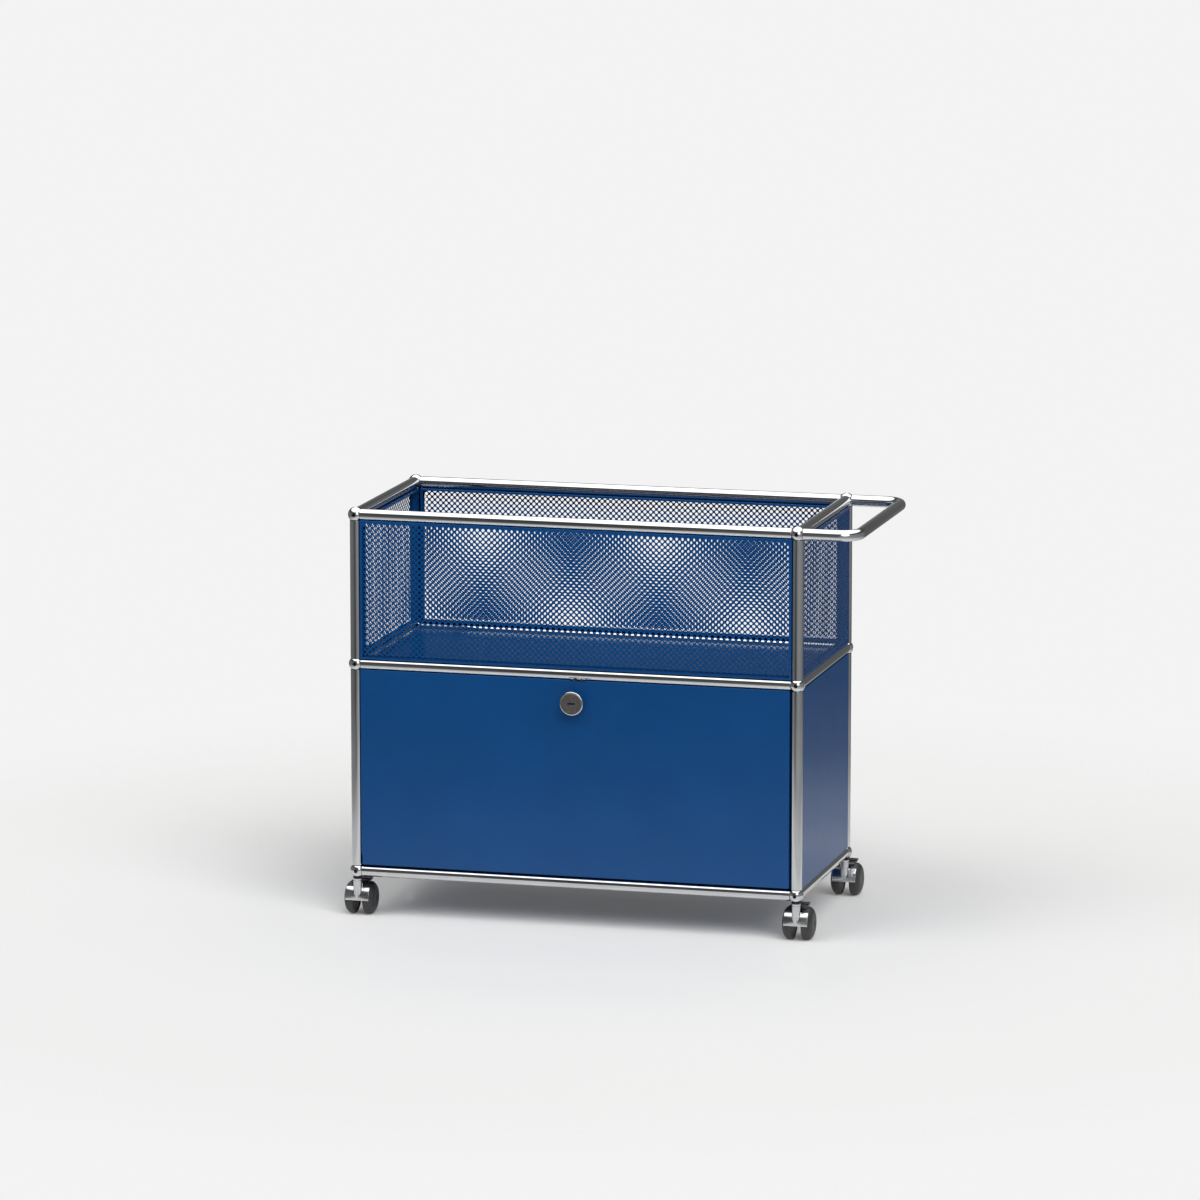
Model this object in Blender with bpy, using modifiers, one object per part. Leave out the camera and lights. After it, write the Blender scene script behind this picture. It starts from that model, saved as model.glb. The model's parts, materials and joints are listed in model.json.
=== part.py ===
"""Media trolley: a chromed tube and ball frame with blue sheet metal panels.

An open basket of perforated panels stands over a closed compartment with a
drop-down door and a lock. A push handle is on the right end, and the trolley
rolls on four twin-wheel casters with brakes. Metres, +Z up, the door faces -Y.
"""

from math import cos, pi, radians, sin, sqrt

import bmesh
import bpy
from mathutils import Euler, Matrix, Vector

# Grid of the frame, between ball centres
GRID_WIDTH = 0.750
GRID_DEPTH = 0.350
LOWER_HEIGHT = 0.350
UPPER_HEIGHT = 0.250
LOWEST_BALL_HEIGHT = 0.078

# Gap between pieces that touch, and how far a cutter runs past a face
FIT_GAP = 0.0003
OVERRUN = 0.002

# Tubes and balls
TUBE_DIAMETER = 0.019
TUBE_WALL = 0.001
TUBE_SIDES = 16
BALL_DIAMETER = 0.025
BALL_SEGMENTS = 16
BALL_RINGS = 8
BALL_HOLE_RADIUS = 0.0025
BALL_HOLE_DEPTH = 0.006
BALL_HOLE_SIDES = 8
SPIGOT_LENGTH = 0.009
SPIGOT_SIDES = 8
STEM_HOLE_RADIUS = 0.0055
STEM_HOLE_DEPTH = 0.009

# Push handle
HANDLE_REACH = 0.097
HANDLE_BEND_RADIUS = 0.030
HANDLE_BEND_STEPS = 6

# Panels: folded sheet. The faces of the upright ones reach in front of the tube axes
PANEL_SHEET = 0.001
PANEL_FOLD = 0.0013
FACE_REACH = 0.0075
FACE_EDGE = 0.0086
LIP_DEPTH = 0.0023
SLOPE_DEPTH = 0.0055
WALL_FLANGE = 0.016
FLOOR_FLANGE = 0.008
FOLD_LIMIT = radians(60)

# Door
DOOR_FLANGE = 0.0165
DOOR_SIDE_GAP = 0.0015
DOOR_LOW_GAP = 0.002
DOOR_TOP_GAP = 0.0025
HINGE_RISE = 0.0145
HINGE_PIN_RADIUS = 0.0016
HINGE_PIN_SIDES = 12
HINGE_PIN_GRIP = 0.003
HINGE_PIN_ENTRY = 0.0015
HINGE_RELIEF = 0.006
KEEPER_NOTCH_GAP = 0.0006
KEEPER_NOTCH_DROP = 0.0101

# Keeper under the middle front rail
KEEPER_WIDTH = 0.024
KEEPER_SHEET = 0.001
KEEPER_LENGTH = 0.016
KEEPER_GAP = 0.0006
KEEPER_SHIFT = 0.007
KEEPER_WRAP = 60
KEEPER_WRAP_STEPS = 3

# Lock knob with its cam
KNOB_RADIUS = 0.020
KNOB_STANDOFF = 0.0175
KNOB_THICKNESS = 0.006
KNOB_EDGE = 0.002
KNOB_DROP = 0.045
KNOB_STEPS = 24
NECK_RADIUS = 0.010
NECK_FLARE = 0.002
SHAFT_RADIUS = 0.008
KEY_SLOT_LENGTH = 0.013
KEY_SLOT_WIDTH = 0.0025
KEY_SLOT_DEPTH = 0.003
CAM_WIDTH = 0.008
CAM_THICKNESS = 0.002
CAM_OVERLAP = 0.007

# Casters
CASTER_WIDTH = 0.051
CASTER_TRAIL = 0.0225
WHEEL_RADIUS = 0.0275
WHEEL_SPACE = 0.0165
WHEEL_STEPS = 24
WHEEL_FACE_RADIUS = 0.014
WHEEL_EDGE_DEPTH = 0.011
WHEEL_EDGE_STEPS = 4
WHEEL_INNER_EDGE = 0.0015
AXLE_RADIUS = 0.003
AXLE_SIDES = 12
AXLE_GRIP = 0.009
STEM_PIN_RADIUS = 0.005
STEM_PIN_LENGTH = 0.008
WASHER_RADIUS = 0.0079
WASHER_THICKNESS = 0.002
COLLAR_RADIUS = 0.0075
COLLAR_HEIGHT = 0.003
GROOVE_RADIUS = 0.0068
GROOVE_HEIGHT = 0.001
STEM_RADIUS = 0.00725
STEM_FOOT_LIFT = 0.001
STEM_STEPS = 16
FENDER_GAP = 0.0009
FENDER_SHEET = 0.0015
FENDER_WIDTH = 0.040
FENDER_RISE = 47
FENDER_STEPS = 5
WEB_THICKNESS = 0.006
WEB_BEHIND_AXLE = 0.005
WEB_BELOW_AXLE = 0.005
WEB_ABOVE_AXLE = 0.012

# Brake lever of a caster, turning on its axle
LEVER_WIDTH = 0.029
LEVER_GAP = 0.0008
LEVER_SHEET = 0.0017
LEVER_START = 66
LEVER_END = 112
LEVER_STEPS = 5
PEDAL_FRONT = 0.0055
PEDAL_LENGTH = 0.014
PEDAL_RISE = 0.0005
PEDAL_THICKNESS = 0.0033
CHEEK_THICKNESS = 0.0025
CHEEK_GAP = 0.0004
CHEEK_BOSS_RADIUS = 0.0055
CHEEK_HALF_TOP = 0.006
CHEEK_BOSS_STEPS = 6
AXLE_CLEARANCE = 0.0003

# Worked out from the sizes above
TUBE_RADIUS = TUBE_DIAMETER / 2
BALL_RADIUS = BALL_DIAMETER / 2
BORE_RADIUS = TUBE_RADIUS - TUBE_WALL
TUBE_START = sqrt(BALL_RADIUS**2 - BORE_RADIUS**2) + FIT_GAP
SPIGOT_REACH = TUBE_START + SPIGOT_LENGTH
PANEL_INSET = TUBE_RADIUS + FIT_GAP
SIDE_X = {"left": -GRID_WIDTH / 2, "right": GRID_WIDTH / 2}
ROW_Y = {"front": -GRID_DEPTH / 2, "back": GRID_DEPTH / 2}
LEVEL_Z = {
    "bottom": LOWEST_BALL_HEIGHT,
    "middle": LOWEST_BALL_HEIGHT + LOWER_HEIGHT,
    "top": LOWEST_BALL_HEIGHT + LOWER_HEIGHT + UPPER_HEIGHT,
}
CAM_START = DOOR_FLANGE + KEEPER_GAP + KEEPER_SHEET + KEEPER_GAP

# The origin is under the middle of the trolley's outer box
KNOB_REACH = FACE_REACH + KNOB_STANDOFF
RIGHT_REACH = HANDLE_REACH + TUBE_RADIUS
LEFT_REACH = CASTER_WIDTH / 2
BACK_REACH = CASTER_TRAIL + WHEEL_RADIUS
CENTRE_X = (LEFT_REACH - RIGHT_REACH) / 2
CENTRE_Y = (KNOB_REACH - BACK_REACH) / 2

# A local +Z axis turned towards each side
TURN_TO = {
    "right": (0, pi / 2, 0),
    "left": (0, -pi / 2, 0),
    "back": (-pi / 2, 0, 0),
    "front": (pi / 2, 0, 0),
    "up": (0, 0, 0),
    "down": (pi, 0, 0),
}
# A flat outline drawn as (depth, height), with its thickness across the width
OUTLINE_TURN = (pi / 2, 0, pi / 2)
SHARP_ANGLE = radians(40)


def new_collection(name):
    collection = bpy.data.collections.new(name)
    bpy.context.scene.collection.children.link(collection)
    return collection


def new_finish(name, colour, roughness, metallic):
    finish = bpy.data.materials.new(name)
    finish.use_nodes = True
    shader = finish.node_tree.nodes["Principled BSDF"]
    shader.inputs["Base Color"].default_value = (*colour, 1)
    shader.inputs["Roughness"].default_value = roughness
    shader.inputs["Metallic"].default_value = metallic
    finish.diffuse_color = (*colour, 1)
    return finish


def new_empty(name, parent, location):
    empty = bpy.data.objects.new(name, None)
    parts.objects.link(empty)
    empty.parent = parent
    empty.location = location
    return empty


def new_part(name, mesh, finish, parent, location=(0, 0, 0), rotation=(0, 0, 0)):
    """Add a piece of the trolley. Pieces that are alike share one mesh."""
    part = bpy.data.objects.new(name, mesh)
    parts.objects.link(part)
    part.parent = parent
    part.location = location
    part.rotation_euler = rotation
    if not mesh.materials:
        mesh.materials.append(finish)
    return part


def new_tool(name, mesh, parent, location=(0, 0, 0), rotation=(0, 0, 0)):
    """Add a helper shape that a Boolean joins to a piece or cuts from it."""
    tool = bpy.data.objects.new(name, mesh)
    cutters.objects.link(tool)
    tool.parent = parent
    tool.location = location
    tool.rotation_euler = rotation
    tool.hide_render = True
    tool.display_type = "WIRE"
    return tool


def boolean(part, tool, operation):
    modifier = part.modifiers.new(tool.name, "BOOLEAN")
    modifier.solver = "EXACT"
    modifier.operation = operation
    modifier.object = tool


def mesh_from(name, build):
    """A mesh that the function build fills in, given an empty bmesh."""
    shape = bmesh.new()
    build(shape)
    mesh = bpy.data.meshes.new(name)
    shape.to_mesh(mesh)
    shape.free()
    return mesh


def smooth(mesh):
    mesh.shade_smooth()
    mesh.set_sharp_from_angle(angle=SHARP_ANGLE)
    return mesh


def cylinder_mesh(name, radius, start, end, sides, capped=True):
    """A cylinder along Z from start to end."""
    middle = Matrix.Translation((0, 0, (start + end) / 2))

    def build(shape):
        bmesh.ops.create_cone(
            shape,
            cap_ends=capped,
            segments=sides,
            radius1=radius,
            radius2=radius,
            depth=end - start,
            matrix=middle,
        )

    return smooth(mesh_from(name, build))


def box_mesh(name, low, high):
    """A box between two corners."""
    sizes = [b - a for a, b in zip(low, high)]
    middle = [(a + b) / 2 for a, b in zip(low, high)]
    place = Matrix.Translation(middle) @ Matrix.Diagonal((*sizes, 1))
    return mesh_from(name, lambda shape: bmesh.ops.create_cube(shape, size=1, matrix=place))


def evaluated_mesh(curve, name):
    """The mesh of a curve, its caps welded, with the curve taken away."""
    holder = bpy.data.objects.new(name, curve)
    cutters.objects.link(holder)
    graph = bpy.context.evaluated_depsgraph_get()
    mesh = bpy.data.meshes.new_from_object(holder.evaluated_get(graph))
    bpy.data.objects.remove(holder)
    mesh.name = name
    shape = bmesh.new()
    shape.from_mesh(mesh)
    bmesh.ops.remove_doubles(shape, verts=shape.verts, dist=FIT_GAP / 100)
    shape.to_mesh(mesh)
    shape.free()
    return mesh


def outline_mesh(name, points, thickness):
    """A flat closed outline, given in X and Y, with its thickness along Z."""
    curve = bpy.data.curves.new(name, "CURVE")
    curve.dimensions = "2D"
    curve.fill_mode = "BOTH"
    curve.extrude = thickness / 2
    spline = curve.splines.new("POLY")
    spline.points.add(len(points) - 1)
    for point, (x, y) in zip(spline.points, points):
        point.co = (x, y, 0, 1)
    spline.use_cyclic_u = True
    return evaluated_mesh(curve, name)


def tube_path_mesh(name, points, radius, sides):
    """An open tube skin along a path."""
    curve = bpy.data.curves.new(name, "CURVE")
    curve.dimensions = "3D"
    curve.bevel_depth = radius
    curve.bevel_resolution = (sides - 4) // 2
    spline = curve.splines.new("POLY")
    spline.points.add(len(points) - 1)
    for point, place in zip(spline.points, points):
        point.co = (*place, 1)
    return smooth(evaluated_mesh(curve, name))


def profile_mesh(name, outline, angle=0):
    """An edge outline of (radius, height) points, top to bottom, to be turned about Z."""

    def build(shape):
        corners = [shape.verts.new((r * cos(angle), r * sin(angle), z)) for r, z in outline]
        for first, second in zip(corners, corners[1:]):
            shape.edges.new((first, second))

    return mesh_from(name, build)


def turn(part, steps):
    modifier = part.modifiers.new("turned", "SCREW")
    modifier.steps = steps
    modifier.render_steps = steps
    modifier.use_merge_vertices = True
    modifier.merge_threshold = FIT_GAP / 100
    modifier.use_smooth_shade = True


def give_wall(part, thickness):
    """Give an open surface its wall, on the inner side."""
    modifier = part.modifiers.new("wall", "SOLIDIFY")
    modifier.thickness = thickness
    modifier.offset = -1
    modifier.use_even_offset = True


def arc(radius, start, end, steps):
    """Points (depth, height) on an arc about the axle, from the front and up, in degrees."""
    angles = [radians(start + (end - start) * i / steps) for i in range(steps + 1)]
    return [(-radius * cos(a), radius * sin(a)) for a in angles]


def band_outline(inner, outer, start, end, steps):
    """Outline of a curved plate between two radii about the axle."""
    return arc(outer, start, end, steps) + arc(inner, end, start, steps)


def rectangle(left, right, low, high):
    """The matrix that lays a unit square over a rectangle."""
    middle = Matrix.Translation(((left + right) / 2, (low + high) / 2, 0))
    return middle @ Matrix.Diagonal((right - left, high - low, 1, 1))


def opening(width, height, inset):
    """The rectangle of an opening between four tube axes, drawn in on all sides."""
    across = width / 2 - inset
    upright = height / 2 - inset
    return rectangle(-across, across, -upright, upright)


def tray_mesh(name, face, box, flange):
    """The skin of a folded panel: its face at Z = 0 facing +Z, its flanges folded back.

    Behind a short lip the flanges slope from the rectangle of the face to the one of the box.
    """
    slope = box @ face.inverted()

    def build(shape):
        bmesh.ops.create_grid(shape, x_segments=1, y_segments=1, size=0.5, matrix=face)
        rim = list(shape.edges)
        reached = 0
        for depth in (LIP_DEPTH, SLOPE_DEPTH, flange):
            folded = bmesh.ops.extrude_edge_only(shape, edges=rim)["geom"]
            rim = [item for item in folded if isinstance(item, bmesh.types.BMEdge)]
            skirt = [item for item in folded if isinstance(item, bmesh.types.BMVert)]
            rim = [edge for edge in rim if edge.is_boundary]
            bmesh.ops.translate(shape, verts=skirt, vec=(0, 0, reached - depth))
            if depth == SLOPE_DEPTH:
                bmesh.ops.transform(shape, matrix=slope, verts=skirt)
            reached = depth
        bmesh.ops.recalc_face_normals(shape, faces=list(shape.faces))
        front = max(shape.faces, key=lambda item: item.calc_area())
        if front.normal.z < 0:
            bmesh.ops.reverse_faces(shape, faces=list(shape.faces))

    return mesh_from(name, build)


def fold_and_thicken(panel):
    """Round the folds of a panel a little and give the sheet its thickness."""
    fold = panel.modifiers.new("fold", "BEVEL")
    fold.width = PANEL_FOLD
    fold.segments = 1
    fold.limit_method = "ANGLE"
    fold.angle_limit = FOLD_LIMIT
    give_wall(panel, PANEL_SHEET)


def add_balls():
    """Twelve balls, each with a spigot into every tube and a blind hole on each free side."""
    ball_mesh = mesh_from(
        "ball",
        lambda shape: bmesh.ops.create_uvsphere(
            shape, u_segments=BALL_SEGMENTS, v_segments=BALL_RINGS, radius=BALL_RADIUS
        ),
    )
    smooth(ball_mesh)
    spigot = cylinder_mesh("spigot", BORE_RADIUS - FIT_GAP, 0, SPIGOT_REACH, SPIGOT_SIDES)
    hole = cylinder_mesh(
        "ball_hole", BALL_HOLE_RADIUS, BALL_RADIUS - BALL_HOLE_DEPTH, BALL_RADIUS + OVERRUN, BALL_HOLE_SIDES
    )
    stem_hole = cylinder_mesh(
        "stem_hole", STEM_HOLE_RADIUS, BALL_RADIUS - STEM_HOLE_DEPTH, BALL_RADIUS + OVERRUN, STEM_STEPS
    )
    inward = {"left": "right", "right": "left", "front": "back", "back": "front"}
    upright = {"bottom": ["up"], "middle": ["up", "down"], "top": ["down"]}
    for level, z in LEVEL_Z.items():
        for row, y in ROW_Y.items():
            for side, x in SIDE_X.items():
                place = (x, y, z)
                name = f"ball_{level}_{row}_{side}"
                ball = new_part(name, ball_mesh, chrome, trolley, place)
                tubes = [inward[side], inward[row], *upright[level]]
                if level == "top" and side == "right":
                    tubes.append("right")
                for way in TURN_TO:
                    joined = way in tubes
                    shape = spigot if joined else hole
                    if level == "bottom" and way == "down":
                        shape = stem_hole
                    tool = new_tool(f"{name}_{way}", shape, trolley, place, TURN_TO[way])
                    boolean(ball, tool, "UNION" if joined else "DIFFERENCE")


def tube_mesh(name, grid_length):
    """The open skin of a tube between two balls."""
    half = grid_length / 2 - TUBE_START
    return cylinder_mesh(name, TUBE_RADIUS, -half, half, TUBE_SIDES, capped=False)


def add_tube(name, mesh, place, way):
    tube = new_part(name, mesh, chrome, trolley, place, TURN_TO[way])
    give_wall(tube, TUBE_WALL)
    return tube


def add_rails():
    """Four level rails at each of the three levels. The middle front one carries the keeper."""
    across = tube_mesh("rail_across", GRID_WIDTH)
    along = tube_mesh("rail_along", GRID_DEPTH)
    for level, z in LEVEL_Z.items():
        for row, y in ROW_Y.items():
            rail = add_tube(f"rail_{level}_{row}", across, (0, y, z), "right")
            if (level, row) == ("middle", "front"):
                keeper = new_tool("keeper", keeper_mesh(), trolley, (KEEPER_SHIFT, y, z), OUTLINE_TURN)
                boolean(rail, keeper, "UNION")
        for side, x in SIDE_X.items():
            add_tube(f"rail_{level}_{side}", along, (x, 0, z), "back")


def keeper_mesh():
    """A bent strip that hugs the rail's underside and hangs down behind the door's top edge."""
    outer = TUBE_RADIUS + KEEPER_SHEET
    inner = TUBE_RADIUS - TUBE_WALL / 2
    hook_front = DOOR_FLANGE - FACE_REACH + KEEPER_GAP
    hook_back = hook_front + KEEPER_SHEET
    under = KEEPER_WRAP - 90
    low_end = -outer - KEEPER_LENGTH
    outline = arc(outer, under, -90, KEEPER_WRAP_STEPS)
    outline += [(hook_front, -outer), (hook_front, low_end), (hook_back, low_end)]
    outline += [(hook_back, -TUBE_RADIUS), (TUBE_WALL, -TUBE_RADIUS)]
    outline += arc(inner, -90, under, KEEPER_WRAP_STEPS)
    return outline_mesh("keeper", outline, KEEPER_WIDTH)


def add_posts():
    """Eight upright tubes. The two at the door's lower corners have holes for its hinge pins."""
    spans = {"lower": ("bottom", "middle"), "upper": ("middle", "top")}
    hole_radius = HINGE_PIN_RADIUS + FIT_GAP
    hole_start = BORE_RADIUS - OVERRUN
    hole_end = TUBE_RADIUS + OVERRUN
    pin_hole = cylinder_mesh("pin_hole", hole_radius, hole_start, hole_end, HINGE_PIN_SIDES)
    inward = {"left": "right", "right": "left"}
    for span, (low, high) in spans.items():
        mesh = tube_mesh(f"post_{span}", LEVEL_Z[high] - LEVEL_Z[low])
        middle = (LEVEL_Z[low] + LEVEL_Z[high]) / 2
        for row, y in ROW_Y.items():
            for side, x in SIDE_X.items():
                post = add_tube(f"post_{span}_{row}_{side}", mesh, (x, y, middle), "up")
                if (span, row) == ("lower", "front"):
                    turned = TURN_TO[inward[side]]
                    tool = new_tool(f"pin_hole_{side}", pin_hole, trolley, (x, y, HINGE_Z), turned)
                    boolean(post, tool, "DIFFERENCE")


def add_handle():
    """A bent tube between the two top balls of the right end."""
    start = SIDE_X["right"] + TUBE_START
    far = SIDE_X["right"] + HANDLE_REACH
    bend_x = far - HANDLE_BEND_RADIUS
    bend_y = GRID_DEPTH / 2 - HANDLE_BEND_RADIUS
    turns = [radians(90 * i / HANDLE_BEND_STEPS) for i in range(HANDLE_BEND_STEPS + 1)]
    corner = [(bend_x + HANDLE_BEND_RADIUS * sin(a), bend_y + HANDLE_BEND_RADIUS * cos(a)) for a in turns]
    half = [(start, GRID_DEPTH / 2), *corner]
    path = [(x, -y, 0) for x, y in half] + [(x, y, 0) for x, y in reversed(half)]
    mesh = tube_path_mesh("push_handle", path, TUBE_RADIUS, TUBE_SIDES)
    handle = new_part("push_handle", mesh, chrome, trolley, (0, 0, LEVEL_Z["top"]))
    give_wall(handle, TUBE_WALL)


def add_panel(name, finish, width, height, place, way):
    """An upright folded panel between four tubes, its face in front of their axes."""
    face = opening(width, height, FACE_EDGE)
    mesh = tray_mesh(name, face, opening(width, height, PANEL_INSET), WALL_FLANGE)
    forward = Euler(TURN_TO[way]).to_matrix() @ Vector((0, 0, FACE_REACH))
    fold_and_thicken(new_part(name, mesh, finish, trolley, Vector(place) + forward, TURN_TO[way]))


def add_floor(name, finish, place):
    """A level folded panel between four tubes, its top face in the plane of their axes."""
    box = opening(GRID_WIDTH, GRID_DEPTH, PANEL_INSET)
    mesh = tray_mesh(name, box, box, FLOOR_FLANGE)
    fold_and_thicken(new_part(name, mesh, finish, trolley, place))


def add_panels():
    """The four perforated panels of the basket, its floor, and the walls and base of the compartment."""
    upper_z = (LEVEL_Z["middle"] + LEVEL_Z["top"]) / 2
    lower_z = (LEVEL_Z["bottom"] + LEVEL_Z["middle"]) / 2
    for row, y in ROW_Y.items():
        add_panel(f"mesh_panel_{row}", blue, GRID_WIDTH, UPPER_HEIGHT, (0, y, upper_z), row)
    add_panel("back_panel", blue, GRID_WIDTH, LOWER_HEIGHT, (0, ROW_Y["back"], lower_z), "back")
    for side, x in SIDE_X.items():
        add_panel(f"mesh_panel_{side}", blue, UPPER_HEIGHT, GRID_DEPTH, (x, 0, upper_z), side)
        add_panel(f"side_panel_{side}", blue, LOWER_HEIGHT, GRID_DEPTH, (x, 0, lower_z), side)
    add_floor("tray_floor", blue, (0, 0, LEVEL_Z["middle"]))
    add_floor("base_panel", blue, (0, 0, LEVEL_Z["bottom"]))


def add_door():
    """The drop-down door on its hinge axis, with the lock knob on an axis of its own."""
    hinge = new_empty("door_hinge", trolley, (0, ROW_Y["front"], HINGE_Z))
    low = LEVEL_Z["bottom"] + TUBE_RADIUS + DOOR_LOW_GAP - HINGE_Z
    high = LEVEL_Z["middle"] - TUBE_RADIUS - DOOR_TOP_GAP - HINGE_Z
    half_width = GRID_WIDTH / 2 - TUBE_RADIUS - DOOR_SIDE_GAP
    face_left = FACE_EDGE - GRID_WIDTH / 2
    face_top = LEVEL_Z["middle"] - FACE_EDGE - HINGE_Z
    face = rectangle(face_left, half_width, low, face_top)
    mesh = tray_mesh("door_panel", face, rectangle(-half_width, half_width, low, high), DOOR_FLANGE)
    door = new_part("door_panel", mesh, blue, hinge, (0, -FACE_REACH, 0), TURN_TO["front"])
    fold_and_thicken(door)

    # The lip at the top makes room for the keeper, and the one at the left for the door's swing
    front = -FACE_REACH - OVERRUN
    half_notch = KEEPER_WIDTH / 2 + KEEPER_NOTCH_GAP
    notch_low = (KEEPER_SHIFT - half_notch, front, LEVEL_Z["middle"] - KEEPER_NOTCH_DROP - HINGE_Z)
    notch_high = (KEEPER_SHIFT + half_notch, 0, face_top + OVERRUN)
    notch = box_mesh("keeper_notch", notch_low, notch_high)
    boolean(door, new_tool("keeper_notch", notch, hinge), "DIFFERENCE")
    relief_low = (face_left - OVERRUN, front, low - OVERRUN)
    relief_high = (-half_width - FIT_GAP, 0, HINGE_RELIEF)
    relief = box_mesh("hinge_relief", relief_low, relief_high)
    boolean(door, new_tool("hinge_relief", relief, hinge), "DIFFERENCE")
    pin_start = half_width - HINGE_PIN_GRIP
    pin_end = GRID_WIDTH / 2 - BORE_RADIUS + HINGE_PIN_ENTRY
    pin = cylinder_mesh("hinge_pin", HINGE_PIN_RADIUS, pin_start, pin_end, HINGE_PIN_SIDES)
    for side in SIDE_X:
        boolean(door, new_tool(f"hinge_pin_{side}", pin, hinge, (0, 0, 0), TURN_TO[side]), "UNION")

    lock = new_empty("lock_axis", hinge, (0, -FACE_REACH, LEVEL_Z["middle"] - KNOB_DROP - HINGE_Z))
    lock_radius = SHAFT_RADIUS + 2 * FIT_GAP
    lock_hole = cylinder_mesh("lock_hole", lock_radius, -DOOR_FLANGE / 2, OVERRUN, KNOB_STEPS)
    hole_tool = new_tool("lock_hole", lock_hole, lock, (0, 0, 0), TURN_TO["front"])
    boolean(door, hole_tool, "DIFFERENCE")
    add_lock_knob(lock)


def add_lock_knob(lock):
    """A round knob with a key slot, its shaft through the door and the cam behind it."""
    under = KNOB_STANDOFF - KNOB_THICKNESS
    cam_back = -CAM_START - CAM_THICKNESS
    outline = [
        (0, KNOB_STANDOFF),
        (KNOB_RADIUS - KNOB_EDGE, KNOB_STANDOFF),
        (KNOB_RADIUS, KNOB_STANDOFF - KNOB_EDGE),
        (KNOB_RADIUS, under + KNOB_EDGE),
        (KNOB_RADIUS - KNOB_EDGE, under),
        (NECK_RADIUS, under),
        (NECK_RADIUS, NECK_FLARE + FIT_GAP),
        (NECK_RADIUS + NECK_FLARE, FIT_GAP),
        (SHAFT_RADIUS, FIT_GAP),
        (SHAFT_RADIUS, cam_back - FIT_GAP),
        (0, cam_back - FIT_GAP),
    ]
    knob_mesh = profile_mesh("lock_knob", outline)
    knob = new_part("lock_knob", knob_mesh, dark_chrome, lock, (0, 0, 0), TURN_TO["front"])
    turn(knob, KNOB_STEPS)
    cam_reach = KNOB_DROP - TUBE_RADIUS - KEEPER_SHEET - KEEPER_LENGTH + CAM_OVERLAP
    cam_low = (0, -CAM_WIDTH / 2, cam_back)
    cam = box_mesh("cam", cam_low, (cam_reach, CAM_WIDTH / 2, -CAM_START))
    boolean(knob, new_tool("cam", cam, lock, (0, 0, 0), TURN_TO["front"]), "UNION")
    slot_low = (-KEY_SLOT_LENGTH / 2, -KEY_SLOT_WIDTH / 2, KNOB_STANDOFF - KEY_SLOT_DEPTH)
    slot_high = (KEY_SLOT_LENGTH / 2, KEY_SLOT_WIDTH / 2, KNOB_STANDOFF + OVERRUN)
    slot = box_mesh("key_slot", slot_low, slot_high)
    boolean(knob, new_tool("key_slot", slot, lock, (0, 0, 0), TURN_TO["front"]), "DIFFERENCE")


def stem_outline():
    """Outline of a caster stem, from its pin in the ball down to its foot at the axle's height."""
    washer_top = LOWEST_BALL_HEIGHT - sqrt(BALL_RADIUS**2 - STEM_HOLE_RADIUS**2) - FIT_GAP
    washer_low = washer_top - WASHER_THICKNESS
    collar_low = washer_low - COLLAR_HEIGHT
    groove_low = collar_low - GROOVE_HEIGHT
    pin_top = LOWEST_BALL_HEIGHT - BALL_RADIUS + STEM_PIN_LENGTH
    foot = WHEEL_RADIUS + STEM_FOOT_LIFT
    return [
        (0, pin_top),
        (STEM_PIN_RADIUS, pin_top),
        (STEM_PIN_RADIUS, washer_top),
        (WASHER_RADIUS, washer_top),
        (WASHER_RADIUS, washer_low),
        (COLLAR_RADIUS, washer_low),
        (COLLAR_RADIUS, collar_low),
        (GROOVE_RADIUS, collar_low),
        (GROOVE_RADIUS, groove_low),
        (STEM_RADIUS, groove_low),
        (STEM_RADIUS, foot),
        (0, foot),
    ]


def wheel_outline():
    """Outline of a wheel along the axle, domed on its outer face, with a blind bore on its inner face."""
    # The turned wheel has flat facets, and these keep the wheel's radius where they meet the floor
    facet_share = 1 / cos(pi / WHEEL_STEPS)
    face = CASTER_WIDTH / 2
    inner = WHEEL_SPACE / 2
    bore = AXLE_RADIUS + AXLE_CLEARANCE
    bore_end = inner + AXLE_GRIP + FIT_GAP
    edge_width = WHEEL_RADIUS - WHEEL_FACE_RADIUS
    outline = [(0, face)]
    for i in range(WHEEL_EDGE_STEPS + 1):
        a = radians(90 * i / WHEEL_EDGE_STEPS)
        outline.append((WHEEL_FACE_RADIUS + edge_width * sin(a), face - WHEEL_EDGE_DEPTH * (1 - cos(a))))
    outline += [(WHEEL_RADIUS, inner + WHEEL_INNER_EDGE), (WHEEL_RADIUS - WHEEL_INNER_EDGE, inner)]
    outline += [(bore, inner), (bore, bore_end), (0, bore_end)]
    return [(r * facet_share, z) for r, z in outline]


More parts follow.
